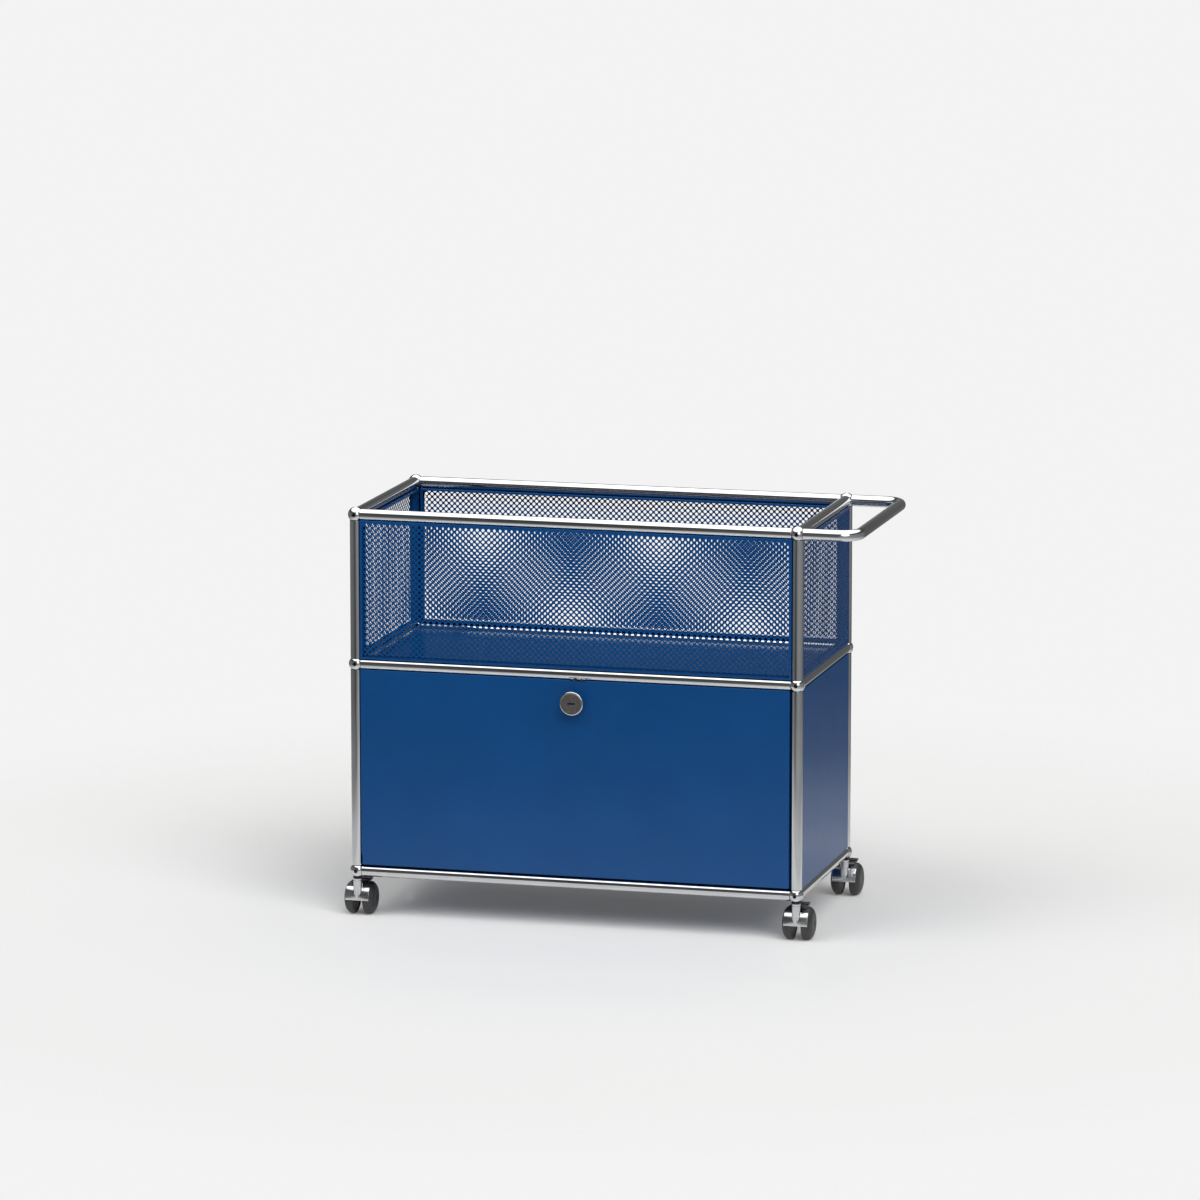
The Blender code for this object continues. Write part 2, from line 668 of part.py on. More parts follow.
def caster_meshes():
    """The shapes that all four casters share."""
    fender_inner = WHEEL_RADIUS + FENDER_GAP
    fender_outer = fender_inner + FENDER_SHEET
    fender = band_outline(fender_inner, fender_outer, 0, FENDER_RISE, FENDER_STEPS)
    hood_inner = WHEEL_RADIUS + LEVER_GAP
    hood_outer = hood_inner + LEVER_SHEET
    hood = band_outline(hood_inner, hood_outer, LEVER_START, LEVER_END, LEVER_STEPS)
    pedal_low = WHEEL_RADIUS + PEDAL_RISE
    half_lever = LEVER_WIDTH / 2
    pedal_high = pedal_low + PEDAL_THICKNESS
    hood_middle = hood_inner + LEVER_SHEET / 2
    cheek_top = sqrt(hood_middle**2 - CHEEK_HALF_TOP**2)
    cheek = arc(CHEEK_BOSS_RADIUS, 0, -180, CHEEK_BOSS_STEPS)
    cheek += [(CHEEK_HALF_TOP, cheek_top), (-CHEEK_HALF_TOP, cheek_top)]
    axle_end = WHEEL_SPACE / 2 + AXLE_GRIP
    web_low = (-WEB_THICKNESS / 2, 0, WHEEL_RADIUS - WEB_BELOW_AXLE)
    web_high = (WEB_THICKNESS / 2, CASTER_TRAIL + WEB_BEHIND_AXLE, WHEEL_RADIUS + WEB_ABOVE_AXLE)
    half_facet = pi / WHEEL_STEPS
    hole_radius = AXLE_RADIUS + AXLE_CLEARANCE
    pedal_front = (-half_lever, PEDAL_FRONT, pedal_low)
    pedal_back = (half_lever, PEDAL_FRONT + PEDAL_LENGTH, pedal_high)
    return {
        "stem": profile_mesh("caster_stem", stem_outline()),
        "wheel": profile_mesh("caster_wheel", wheel_outline(), half_facet),
        "fender": outline_mesh("fender", fender, FENDER_WIDTH),
        "hood": outline_mesh("brake_hood", hood, LEVER_WIDTH),
        "cheek": outline_mesh("brake_cheek", cheek, CHEEK_THICKNESS),
        "web": box_mesh("caster_web", web_low, web_high),
        "pedal": box_mesh("pedal", pedal_front, pedal_back),
        "axle": cylinder_mesh("axle", AXLE_RADIUS, -axle_end, axle_end, AXLE_SIDES),
        "axle_hole": cylinder_mesh("axle_hole", hole_radius, -WHEEL_SPACE / 2, WHEEL_SPACE / 2, AXLE_SIDES),
    }


def add_caster(name, meshes, x, y):
    """A caster that swivels about its stem, with its wheels and brake lever on the axle."""
    swivel = new_empty(f"{name}_swivel", trolley, (x, y, 0))
    axle = new_empty(f"{name}_axle", swivel, (0, CASTER_TRAIL, WHEEL_RADIUS))

    housing = new_part(f"{name}_housing", meshes["stem"], chrome, swivel)
    turn(housing, STEM_STEPS)
    boolean(housing, new_tool(f"{name}_web", meshes["web"], swivel), "UNION")
    rod = new_tool(f"{name}_axle_rod", meshes["axle"], axle, (0, 0, 0), TURN_TO["right"])
    boolean(housing, rod, "UNION")
    fender = new_tool(f"{name}_fender", meshes["fender"], axle, (0, 0, 0), OUTLINE_TURN)
    boolean(housing, fender, "UNION")

    lever = new_part(f"{name}_brake", meshes["hood"], black, axle, (0, 0, 0), OUTLINE_TURN)
    boolean(lever, new_tool(f"{name}_pedal", meshes["pedal"], axle), "UNION")
    cheek_x = WEB_THICKNESS / 2 + CHEEK_GAP + CHEEK_THICKNESS / 2
    for side, x_share in (("left", -1), ("right", 1)):
        place = (x_share * cheek_x, 0, 0)
        cheek = new_tool(f"{name}_cheek_{side}", meshes["cheek"], axle, place, OUTLINE_TURN)
        boolean(lever, cheek, "UNION")
        wheel = new_part(f"{name}_wheel_{side}", meshes["wheel"], black, axle, (0, 0, 0), TURN_TO[side])
        turn(wheel, WHEEL_STEPS)
    hole = new_tool(f"{name}_axle_hole", meshes["axle_hole"], axle, (0, 0, 0), TURN_TO["right"])
    boolean(lever, hole, "DIFFERENCE")


def add_casters():
    meshes = caster_meshes()
    for row, y in ROW_Y.items():
        for side, x in SIDE_X.items():
            add_caster(f"caster_{row}_{side}", meshes, x, y)


for old in list(bpy.data.objects):
    bpy.data.objects.remove(old)

HINGE_Z = LEVEL_Z["bottom"] + TUBE_RADIUS + HINGE_RISE
parts = new_collection("media_trolley")
cutters = new_collection("cutters")
chrome = new_finish("chrome", (0.78, 0.78, 0.79), 0.08, 1)
dark_chrome = new_finish("dark_chrome", (0.20, 0.20, 0.20), 0.30, 1)
blue = new_finish("blue_paint", (0.006, 0.058, 0.190), 0.35, 0)
black = new_finish("black_plastic", (0.012, 0.012, 0.013), 0.45, 0)
trolley = new_empty("trolley", None, (CENTRE_X, CENTRE_Y, 0))

add_balls()
add_rails()
add_posts()
add_handle()
add_panels()
add_door()
add_casters()
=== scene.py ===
"""Media trolley: the dressed model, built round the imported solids.

Each operator models one kind of piece: the balls, the straight tubes, the push
handle, the perforated and the plain panels, the door, its lock, the keeper, the
parts of the casters, and the studio.
"""

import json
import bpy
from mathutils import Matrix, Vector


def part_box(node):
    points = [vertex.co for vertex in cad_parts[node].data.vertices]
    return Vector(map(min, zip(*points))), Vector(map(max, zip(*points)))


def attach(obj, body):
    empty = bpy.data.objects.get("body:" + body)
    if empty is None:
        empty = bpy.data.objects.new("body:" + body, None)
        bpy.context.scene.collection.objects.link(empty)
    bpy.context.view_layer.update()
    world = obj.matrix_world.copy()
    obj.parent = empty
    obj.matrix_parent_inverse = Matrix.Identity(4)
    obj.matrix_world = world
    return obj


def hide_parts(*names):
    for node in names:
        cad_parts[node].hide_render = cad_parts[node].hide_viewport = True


bl_info = {
    "name": "Media Trolley",
    "version": (1, 0, 0),
    "blender": (4, 5, 0),
    "location": "3D View > Sidebar > Trolley",
    "description": "Builds a rolling media trolley of chromed tubes and blue sheet metal",
    "category": "Add Mesh",
}

from functools import cache
from math import cos, hypot, pi, radians, sin, sqrt

import bmesh
import bpy
from mathutils import Matrix, Vector

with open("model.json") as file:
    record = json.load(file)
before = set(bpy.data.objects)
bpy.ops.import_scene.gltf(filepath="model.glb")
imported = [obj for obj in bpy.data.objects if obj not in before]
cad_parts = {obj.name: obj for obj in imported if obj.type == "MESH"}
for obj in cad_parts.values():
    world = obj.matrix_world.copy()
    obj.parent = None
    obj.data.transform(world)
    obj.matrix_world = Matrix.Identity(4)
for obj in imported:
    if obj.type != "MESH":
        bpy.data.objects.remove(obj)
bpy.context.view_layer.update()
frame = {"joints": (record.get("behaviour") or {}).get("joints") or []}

SIDES = ("left", "right")
ROWS = ("front", "back")
LEVELS = ("bottom", "middle", "top")
FACING = {
    "front": Vector((0, -1, 0)),
    "back": Vector((0, 1, 0)),
    "left": Vector((-1, 0, 0)),
    "right": Vector((1, 0, 0)),
    "up": Vector((0, 0, 1)),
}

# Modelling
WELD = 0.000002
SEED_SIZE = 0.001
CHAMFER = 0.0003
SHARP_ANGLE = radians(50)
FOLD_ANGLE = radians(60)

# Balls: depths of the screw holes and of their countersinks, and of the dark threaded sleeves in them, which
# are painted shade in the holes
SCREW_DEPTH = 0.006
COUNTERSINK = 0.0009
COUNTERSINK_RISE = 0.0004
DRILL_OVERRUN = 0.003
SLEEVE_GAP = 0.00005
SLEEVE_SINK = 0.0010
SLEEVE_LIFT = 0.0001
THREAD_TURNS = 5
THREAD_PITCH = 0.0008
THREAD_CREST = 0.0002
THREAD_ROOT = 0.0006

# Tubes and handle
TUBE_SIDES = 48
TUBE_INNER_SET = 0.0001
BEND_STEPS = 20
HANDLE_WALL_SHARE = 0.8

# Perforated panels
FIELD_RIM = 0.0005
FIELD_GAP = 0.0004
FIELD_WELD = 0.00002
FACE_REACH = 0.0001
RIM_REACH = 0.0002

# Door: its upper flange, the keeper's notch, the relief at the hinge, the lock's bore and the pins
UPPER_FLANGE_DROP = 0.012
NOTCH_GAP = 0.0006
NOTCH_DROP = 0.0101
RELIEF_GAP = 0.0003
RELIEF_RISE = 0.006
DOOR_OVERRUN = 0.002
LOCK_BORE_RADIUS = 0.0086
LOCK_BORE_BACK = 0.006
LOCK_BORE_FRONT = 0.004
PIN_RADIUS = 0.0016
PIN_CHAMFER = 0.0004
PIN_SEAT = 0.003

# Lock: outlines are points of radius and height, or of radius and depth behind the knob's front
KNOB_DEPTH = 0.006
KNOB_RECESS = 0.0015
KNOB_EDGE = 0.0022
KNOB_EDGE_TURNS = (0.4, 0.8, 1.2, pi / 2)
KNOB_BACK_EDGE = 0.0008
RIM_LIP = 0.0006
RIM_STEP = 0.0002
NECK_RADIUS = 0.0100
NECK_FLARE = (0.0015, 0.0012)
COLLAR_OUTLINE = ((NECK_RADIUS, 0.0025), (0.0104, 0.0013), (0.0118, 0.0003), (0.0080, 0.0003))
SHAFT_END = 0.0010
FACE_GAP = 0.0001
FACE_DROP = 0.0001
FACE_BACK = 0.0014
FACE_EDGE_DEPTH = 0.0004
FACE_RING = ((0.0088, FACE_DROP), (0.0087, 0.0003), (0.0085, 0.0003), (0.0084, FACE_DROP), (0, FACE_DROP))
SLOT_CUT = (0.004, 0.001)
SLOT_CORNER_SHARE = 0.35
CAM_TAIL = 0.009
CAM_WIDTH = 0.008
CAM_SHEET = 0.002
CAM_LIFT = 0.0012
CAM_CORNER = 0.0036
SHEET_EDGE = 0.0002

# Keeper: its notches lie between shares of its width
KEEPER_SHEET = 0.001
KEEPER_CLEARANCE = 0.00055
KEEPER_START = -30
KEEPER_STEP = -6
KEEPER_STEPS = 11
HOOK_BEND = 0.001
KEEPER_SHARES = (-0.5, -0.33, -0.08, 0.20, 0.31, 0.5)
NOTCH_SHARES = ((-0.33, -0.08), (0.20, 0.31))
NOTCH_TOP_SHARE = 0.93

# Caster housings: the stem's outline is points of radius and depth below the washer
STEM_MOUTH = 0.0055
WASHER_HEIGHT = 0.002
WASHER_BORE = 0.0052
WASHER_RADIUS = 0.0079
WASHER_LIFT = 0.0001
STEM_OUTLINE = (
    (0, 0), (0.0071, 0), (0.0075, 0.0004), (0.0075, 0.0026), (0.0072, 0.0030),
    (0.0068, 0.0031), (0.0068, 0.0039), (0.00695, 0.0040), (0.00725, 0.0043),
)
STEM_FOOT = ((0.00725, 0.0018), (0.0068, 0.0010), (0, 0.0010))
FENDER_GAP = 0.0009
FENDER_SHEET = 0.0015
FENDER_EDGE = 0.0004
WEB_SHEET = 0.006
WEB_TOP = 0.0120
WEB_START = ((0, 0.0025), (0.0085, 0.0020), (0.0150, -0.0030))
WEB_END = (
    (-0.0030, -0.0049), (0, -0.0050), (0.0035, -0.0045), (0.0050, -0.0020), (0.0050, 0.0060),
    (0.0015, 0.0110), (-0.0020, WEB_TOP),
)
AXLE_RADIUS = 0.003
AXLE_REACH = 0.01725

# Wheels: outlines are points of radius and distance from the outer or the inner face
HUB_OUTLINE = ((0, 0.0004), (0.0030, 0.0004), (0.0036, 0.0001), (0.0100, 0))
WHEEL_FLAT = 0.0135
DOME_DEPTH = 0.011
DOME_STEPS = 12
GROOVE_STEP = 9
GROOVE_OUTLINE = ((0.0002, 0.0010), (0.0007, 0.0009))
TREAD_OUTLINE = ((0, 0.0022), (0.0004, 0.0009), (0.0014, 0))
INNER_OUTLINE = (
    (0.0235, 0), (0.0228, 0.0016), (0.0072, 0.0016), (0.0066, 0), (0.0033, 0), (0.0033, 0.0093), (0, 0.0093),
)

# Brake pedals
HOOD_GAP = 0.0008
HOOD_START = radians(66)
HOOD_ANGLE = radians(46)
HOOD_SHEET = 0.0017
HOOD_EDGE = 0.00035
PEDAL_GAP = 0.0005
PEDAL_FRONT = 0.0055
PEDAL_BACK = 0.0195
PEDAL_RIM = 0.0016
PEDAL_SINK = 0.0004
CHEEK_SPREAD = 0.0047
CHEEK_SHEET = 0.0025
CHEEK_EYE = 0.0055
CHEEK_HALF = 0.006
CHEEK_OVERLAP = 0.0006
CHEEK_STEPS = 12
EYE_BORE = 0.0033
EYE_BORE_REACH = 0.008

# Specular level of the paint. The side walls get a copy of the paint with a lower specular level, a painted
# shade that renders them darker.
PAINT_SHINE = 0.3
SIDE_SHADE_SHINE = 0.08

# Studio: the tent's levels by height, in its own band and by heading in degrees from the front
FLOOR_RADIUS = 4.0
FLOOR_FADE = (0.9, 1.9)
FLOOR_SHARES = (0.890, 0.895)
FLOOR_LIFT = 0.074
FLOOR_LIFT_COLOUR = (1, 0.99, 0.88, 1)
FLOOR_POLISH_SHARE = 0.08
TENT_OUTLINE = ((0.55, 0.003), (1.2, 0.003), (2.4, 0.003), (2.4, 1.3), (2.4, 2.6), (0, 2.6))
TENT_CENTRE = (0, 0, 0.4)
TENT_GLOW = 2.5
TENT_FADE = (-0.56, -0.40)
HEIGHT_BAND = (-0.6, 1.0)
HEIGHT_STOPS = (
    (-0.50, 0.88), (1.00, 2.30), (-0.375, 0.60), (-0.225, 0.15), (-0.165, 0.045), (-0.05, 0.065),
    (0.15, 0.055), (0.45, 0.06), (0.60, 0.11), (0.72, 2.20),
)
HORIZON_STOPS = ((-0.45, 0), (0.55, 0), (-0.22, 1), (0.25, 1))
HEADING_STOPS = (
    (-180, 0.14), (180, 0.14), (-150, 0.12), (-75, 0.14), (-40, 0.11), (-15, 0.02), (0, 0.08),
    (20, 0.24), (45, 0.29), (75, 0.25), (115, 0.18), (150, 0.06),
)
SOFT_BOX_TURN = radians(34)
SOFT_BOX_RISE = radians(24)
SOFT_BOX_EDGE = (0.945, 0.970)
SOFT_BOX_COLOUR = (0.9, 0.9, 0.9)
AMBIENT = 0.345
CAMERA_TURN = radians(15.0362)
CAMERA_RISE = radians(10.1607)
CAMERA_DISTANCE = 11.730
CAMERA_RIGHT = -0.00438
CAMERA_UP = 0.43652
CAMERA_FAR = 60
FOCAL_PIXELS = 7006.6
PHOTO_PIXELS = 1200
SENSOR_WIDTH = 36


def middle(node, axis):
    """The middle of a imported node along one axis."""
    low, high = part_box(node)
    return (low[axis] + high[axis]) / 2


def joint_place(name):
    """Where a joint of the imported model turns."""
    return Vector(next(joint["pos_m"] for joint in frame["joints"] if joint["name"] == name))


POST_X = {side: middle(f"post_upper_front_{side}", 0) for side in SIDES}
POST_Y = {row: middle(f"post_upper_{row}_left", 1) for row in ROWS}
RAIL_Z = {level: middle(f"rail_{level}_back", 2) for level in LEVELS}
MIDDLE_X = (POST_X["left"] + POST_X["right"]) / 2
MIDDLE_Y = (POST_Y["front"] + POST_Y["back"]) / 2


def length_setting(name, description, default):
    """A length shown in the sidebar."""
    return bpy.props.FloatProperty(name=name, description=description, default=default, subtype="DISTANCE")


def colour_setting(name, description, default):
    """A colour shown in the sidebar."""
    return bpy.props.FloatVectorProperty(
        name=name, description=description, default=default, subtype="COLOR", min=0, max=1
    )


class TrolleySizes(bpy.types.PropertyGroup):
    """Sizes of the trolley's visible detail."""

    tube_diameter: length_setting("Tube diameter", "Outer diameter of the frame tubes", 0.019)
    tube_wall: length_setting("Tube wall", "Wall thickness of the tubes", 0.001)
    ball_diameter: length_setting("Ball diameter", "Diameter of the joint balls", 0.025)
    ball_hole: length_setting("Ball hole", "Diameter of a ball's unused screw holes", 0.0056)
    handle_bend: length_setting("Handle bend", "Radius of the handle's bends, to the tube's axis", 0.030)
    hole_diameter: length_setting("Perforation", "Diameter of the punched holes", 0.0055)
    hole_pitch: bpy.props.FloatVectorProperty(
        name="Perforation pitch", description="Distance between a row's holes, and between a grid's rows",
        default=(0.009957, 0.009887), size=2, subtype="XYZ", unit="LENGTH",
    )
    hole_margin: length_setting("Perforation margin", "Rough distance from the edge to the holes", 0.0078)
    sheet: length_setting("Sheet", "Thickness of the panel sheet", 0.0009)
    mesh_sheet: length_setting("Perforated sheet", "Thickness of the perforated sheet", 0.0004)
    lip: length_setting("Lip", "Depth of the straight lip behind a face's edge", 0.0023)
    slope: length_setting("Slope", "Depth at which the flanges have been drawn in", 0.0055)
    drawn_in: length_setting("Drawn in", "How far upright panels' flanges lie behind the lip", 0.0012)
    face_edge: length_setting("Face edge", "Distance from a tube's axis to the edge of a face", 0.0086)
    fold: length_setting("Fold", "Outer radius of the panels' folds", 0.0012)
    door_gap: length_setting("Door gap", "Gap between the door and the tubes at its sides", 0.0015)
    knob_rim: length_setting("Knob rim", "Width of the polished rim round the knob's face", 0.0024)
    slot_length: length_setting("Key slot length", "Length of the key slot", 0.0128)
    slot_width: length_setting("Key slot width", "Width of the key slot", 0.0029)
    keeper_width: length_setting("Keeper width", "Width of the keeper clip", 0.024)
    keeper_shift: length_setting("Keeper shift", "How far the keeper sits right of the door's middle", 0.007)
    fender_width: length_setting("Fender width", "Width of a caster's fender", 0.040)
    fender_angle: bpy.props.FloatProperty(
        name="Fender angle", description="How far a fender reaches round the wheels", default=radians(47),
        subtype="ANGLE",
    )


class TrolleyColours(bpy.types.PropertyGroup):
    """Colours of the trolley's finishes."""

    paint: colour_setting("Panel paint", "Powder coat of the panels and the door", (0.0018, 0.0500, 0.176))
    chrome: colour_setting("Chrome", "Polished tubes, balls and caster housings", (0.60, 0.61, 0.62))
    knob: colour_setting("Knob face", "Brushed face of the lock knob", (0.26, 0.24, 0.23))
    wheel: colour_setting("Wheels", "Black plastic of the wheels", (0.022, 0.022, 0.023))
    lever: colour_setting("Brake pedals", "Black plastic of the brake pedals", (0.010, 0.010, 0.011))
    floor: colour_setting("Floor", "Pale studio floor and backdrop", (0.896, 0.896, 0.896))


def rest():
    """Go to Object Mode, with nothing selected."""
    if bpy.context.mode != "OBJECT":
        bpy.ops.object.mode_set(mode="OBJECT")
    bpy.ops.object.select_all(action="DESELECT")


def lone(piece):
    """Leave one piece selected and active, in Object Mode."""
    rest()
    piece.select_set(True)
    bpy.context.view_layer.objects.active = piece


def begin(name, add, **settings):
    """Add a primitive with nothing else selected, and open it in Edit Mode."""
    rest()
    add(**settings)
    piece = bpy.context.active_object
    piece.name = name
    piece.data.name = name
    bpy.ops.object.mode_set(mode="EDIT")
    bpy.ops.mesh.select_mode(type="VERT")
    bpy.ops.mesh.select_all(action="SELECT")
    return piece


def reopen(piece):
    """Open a piece in Edit Mode."""
    lone(piece)
    bpy.ops.object.mode_set(mode="EDIT")


def pick(kind, wanted):
    """In Edit Mode, select only the vertices, edges or faces that pass a test."""
    bpy.ops.mesh.select_mode(type=kind)
    bpy.ops.mesh.select_all(action="DESELECT")
    mesh = bpy.context.edit_object.data
    shape = bmesh.from_edit_mesh(mesh)
    items = {"VERT": shape.verts, "EDGE": shape.edges, "FACE": shape.faces}[kind]
    chosen = [item for item in items if wanted(item)]
    if not chosen:
        raise RuntimeError(f"{bpy.context.edit_object.name}: nothing to select for the next step")
    for item in chosen:
        item.select_set(True)
    shape.select_flush_mode()
    bmesh.update_edit_mesh(mesh)


def centre_of(item):
    """The middle of an edge or a face."""
    return sum((vertex.co for vertex in item.verts), Vector()) / len(item.verts)


def rise_of(edge):
    """How far an edge rises along Z."""
    return abs(edge.verts[0].co.z - edge.verts[1].co.z)


def pull(x, y, z):
    """Extrude what is selected and move it."""
    bpy.ops.mesh.extrude_region_move(TRANSFORM_OT_translate={"value": (x, y, z)})


def pull_scaled(across, along):
    """Extrude the selected rims, and scale them about the origin, across and along Z."""
    bpy.ops.mesh.extrude_region_move()
    bpy.ops.transform.resize(value=(across, across, along), center_override=(0, 0, 0))


def tidy():
    """Weld doubled points and turn all faces outwards."""
    bpy.ops.mesh.select_all(action="SELECT")
    bpy.ops.mesh.remove_doubles(threshold=WELD)
    bpy.ops.mesh.normals_make_consistent(inside=False)
    bpy.ops.object.mode_set(mode="OBJECT")


def box_between(name, low, high):
    """A box between two corners, still in Edit Mode."""
    low, high = Vector(low), Vector(high)
    box = begin(name, bpy.ops.mesh.primitive_cube_add, size=1)
    bpy.ops.transform.resize(value=tuple(high - low), center_override=(0, 0, 0))
    bpy.ops.transform.translate(value=tuple((low + high) / 2))
    return box


def drawn_line(name, points):
    """Draw a line as by hand: one vertex, pulled from point to point."""
    piece = begin(name, bpy.ops.mesh.primitive_plane_add, size=SEED_SIZE)
    bpy.ops.mesh.merge(type="CENTER")
    bpy.ops.transform.translate(value=points[0])
    for here, there in zip(points, points[1:]):
        pull(*(b - a for a, b in zip(here, there)))
    return piece


def turned(name, profile, steps):
    """Spin a profile of (radius, height) points round the Z axis."""
    piece = drawn_line(name, [(radius, 0, height) for radius, height in profile])
    bpy.ops.mesh.select_all(action="SELECT")
    bpy.ops.mesh.spin(steps=steps, angle=2 * pi, center=(0, 0, 0), axis=(0, 0, 1))
    tidy()
    return piece


def plug(name, radius, low, high, steps):
    """A plain cylinder on the Z axis, between two heights."""
    return turned(name, [(0, low), (radius, low), (radius, high), (0, high)], steps)


def plate(name, outline, x, thickness):
    """A plate from an outline of (y, z) points, with its middle at a place on the X axis."""
    piece = drawn_line(name, [(x - thickness / 2, y, z) for y, z in outline])
    bpy.ops.mesh.select_all(action="SELECT")
    bpy.ops.mesh.edge_face_add()
    pull(thickness, 0, 0)
    tidy()
    return piece


def bent_sheet(name, width, radius, start, angle, steps, thickness):
    """A sheet bent round the X axis, from a starting angle at its front. The radius is its inner one."""
    y, z = -radius * cos(start), radius * sin(start)
    sheet = drawn_line(name, [(-width / 2, y, z), (0, y, z), (width / 2, y, z)])
    bpy.ops.mesh.select_all(action="SELECT")
    bpy.ops.mesh.spin(steps=steps, angle=angle, center=(0, 0, 0), axis=(1, 0, 0))
    tidy()
    if max(vertex.co.z for vertex in sheet.data.vertices) < z + WELD:
        raise RuntimeError(f"{name}: spun downwards")
    face = sheet.data.polygons[0]
    outward = face.normal.dot(Vector((0, face.center.y, face.center.z)))
    modify(sheet, "SOLIDIFY", thickness=thickness, offset=1 if outward > 0 else -1, use_even_offset=True)
    return sheet


def modify(piece, kind, **settings):
    """Add a modifier, set it and apply it."""
    lone(piece)
    bpy.ops.object.modifier_add(type=kind)
    modifier = piece.modifiers[-1]
    for name, value in settings.items():
        setattr(modifier, name, value)
    bpy.ops.object.modifier_apply(modifier=modifier.name)


def round_edges(piece, width, segments=2):
    """Round a piece's sharp edges."""
    modify(piece, "BEVEL", width=width, segments=segments, limit_method="ANGLE", angle_limit=SHARP_ANGLE)


def combine(piece, tool, operation):
    """Cut a tool from a piece or weld it on."""
    modify(piece, "BOOLEAN", object=tool, operation=operation, solver="EXACT")
    bpy.data.objects.remove(tool)


def join_to(piece, *others):
    """Join other pieces to the first one."""
    lone(piece)
    for other in others:
        other.select_set(True)
    bpy.ops.object.join()
    return piece


def turn_place(piece, matrix):
    """Move a piece to its place, and apply the place to its mesh."""
    piece.matrix_world = matrix
    lone(piece)
    bpy.ops.object.transform_apply(location=True, rotation=True, scale=True)
    return piece


def soften(piece, angle=35, weighted=False):
    """Smooth shading, with edges above an angle kept crisp."""
    lone(piece)
    bpy.ops.object.shade_smooth_by_angle(angle=radians(angle))
    if weighted:
        modify(piece, "WEIGHTED_NORMAL", keep_sharp=True)
    return piece


def install(piece, finish, slot, body, *nodes):
    """Give a finished piece its material and body. The slot is not used."""
    piece.data.materials.clear()
    piece.data.materials.append(finish)
    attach(piece, body)
    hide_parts(*nodes)


def duplicate(piece, name, matrix):
    """A copy with its own mesh, moved inside that mesh."""
    copy = bpy.data.objects.new(name, piece.data.copy())
    copy.data.name = name
    bpy.context.scene.collection.objects.link(copy)
    copy.data.transform(matrix)
    return copy


def at(x, y, z):
    """A move to a place."""
    return Matrix.Translation((x, y, z))


def axes_of(way):
    """The directions across, up and out of a face that looks to a side."""
    front = FACING[way]
    upright = Vector((0, 1, 0)) if way == "up" else Vector((0, 0, 1))
    return upright.cross(front), upright, front


def facing(way, place=(0, 0, 0)):
    """A turn that brings a piece's +Z to a side and its +Y upright, and its place."""
    return Matrix.Translation(place) @ Matrix(axes_of(way)).transposed().to_4x4()


ALONG_X = Matrix.Rotation(pi / 2, 4, "Y")
AGAINST_X = Matrix.Rotation(-pi / 2, 4, "Y")
ALONG_Y = Matrix.Rotation(-pi / 2, 4, "X")


class Nodes:
    """A node tree whose nodes are laid out as they are added."""

    def __init__(self, tree):
        self.tree = tree

    def feed(self, socket, value):
        """Link a socket to another one, or give it a value."""
        if isinstance(value, bpy.types.NodeSocket):
            self.tree.links.new(value, socket)
        else:
            socket.default_value = value

    def add(self, kind, **inputs):
        """Add a node, with values or links for its named inputs."""
        node = self.tree.nodes.new(kind)
        node.location = (-260 * (len(self.tree.nodes) % 7) - 300, -220 * (len(self.tree.nodes) // 7))
        for name, value in inputs.items():
            self.feed(node.inputs[name.replace("_", " ")], value)
        return node

    def reckon(self, kind, operation, output, *values):
        """The result of a Math or Vector Math node."""
        node = self.add(kind)
        node.operation = operation
        for socket, value in zip(node.inputs, values):
            self.feed(socket, value)
        return node.outputs[output]

    def math(self, operation, first, second):
        return self.reckon("ShaderNodeMath", operation, "Value", first, second)

    def shown(self):
        """1 for what the camera sees, directly, mirrored or through a surface, and 0 for other light."""
        path = self.add("ShaderNodeLightPath")
        seen = path.outputs["Is Camera Ray"]
        for other in ("Is Glossy Ray", "Is Transmission Ray"):
            seen = self.math("MAXIMUM", seen, path.outputs[other])
        return seen

    def join(self, share, first, second):
        """Mix two shaders."""
        node = self.add("ShaderNodeMixShader", Fac=share)
        self.feed(node.inputs[1], first)
        self.feed(node.inputs[2], second)
        return node.outputs["Shader"]


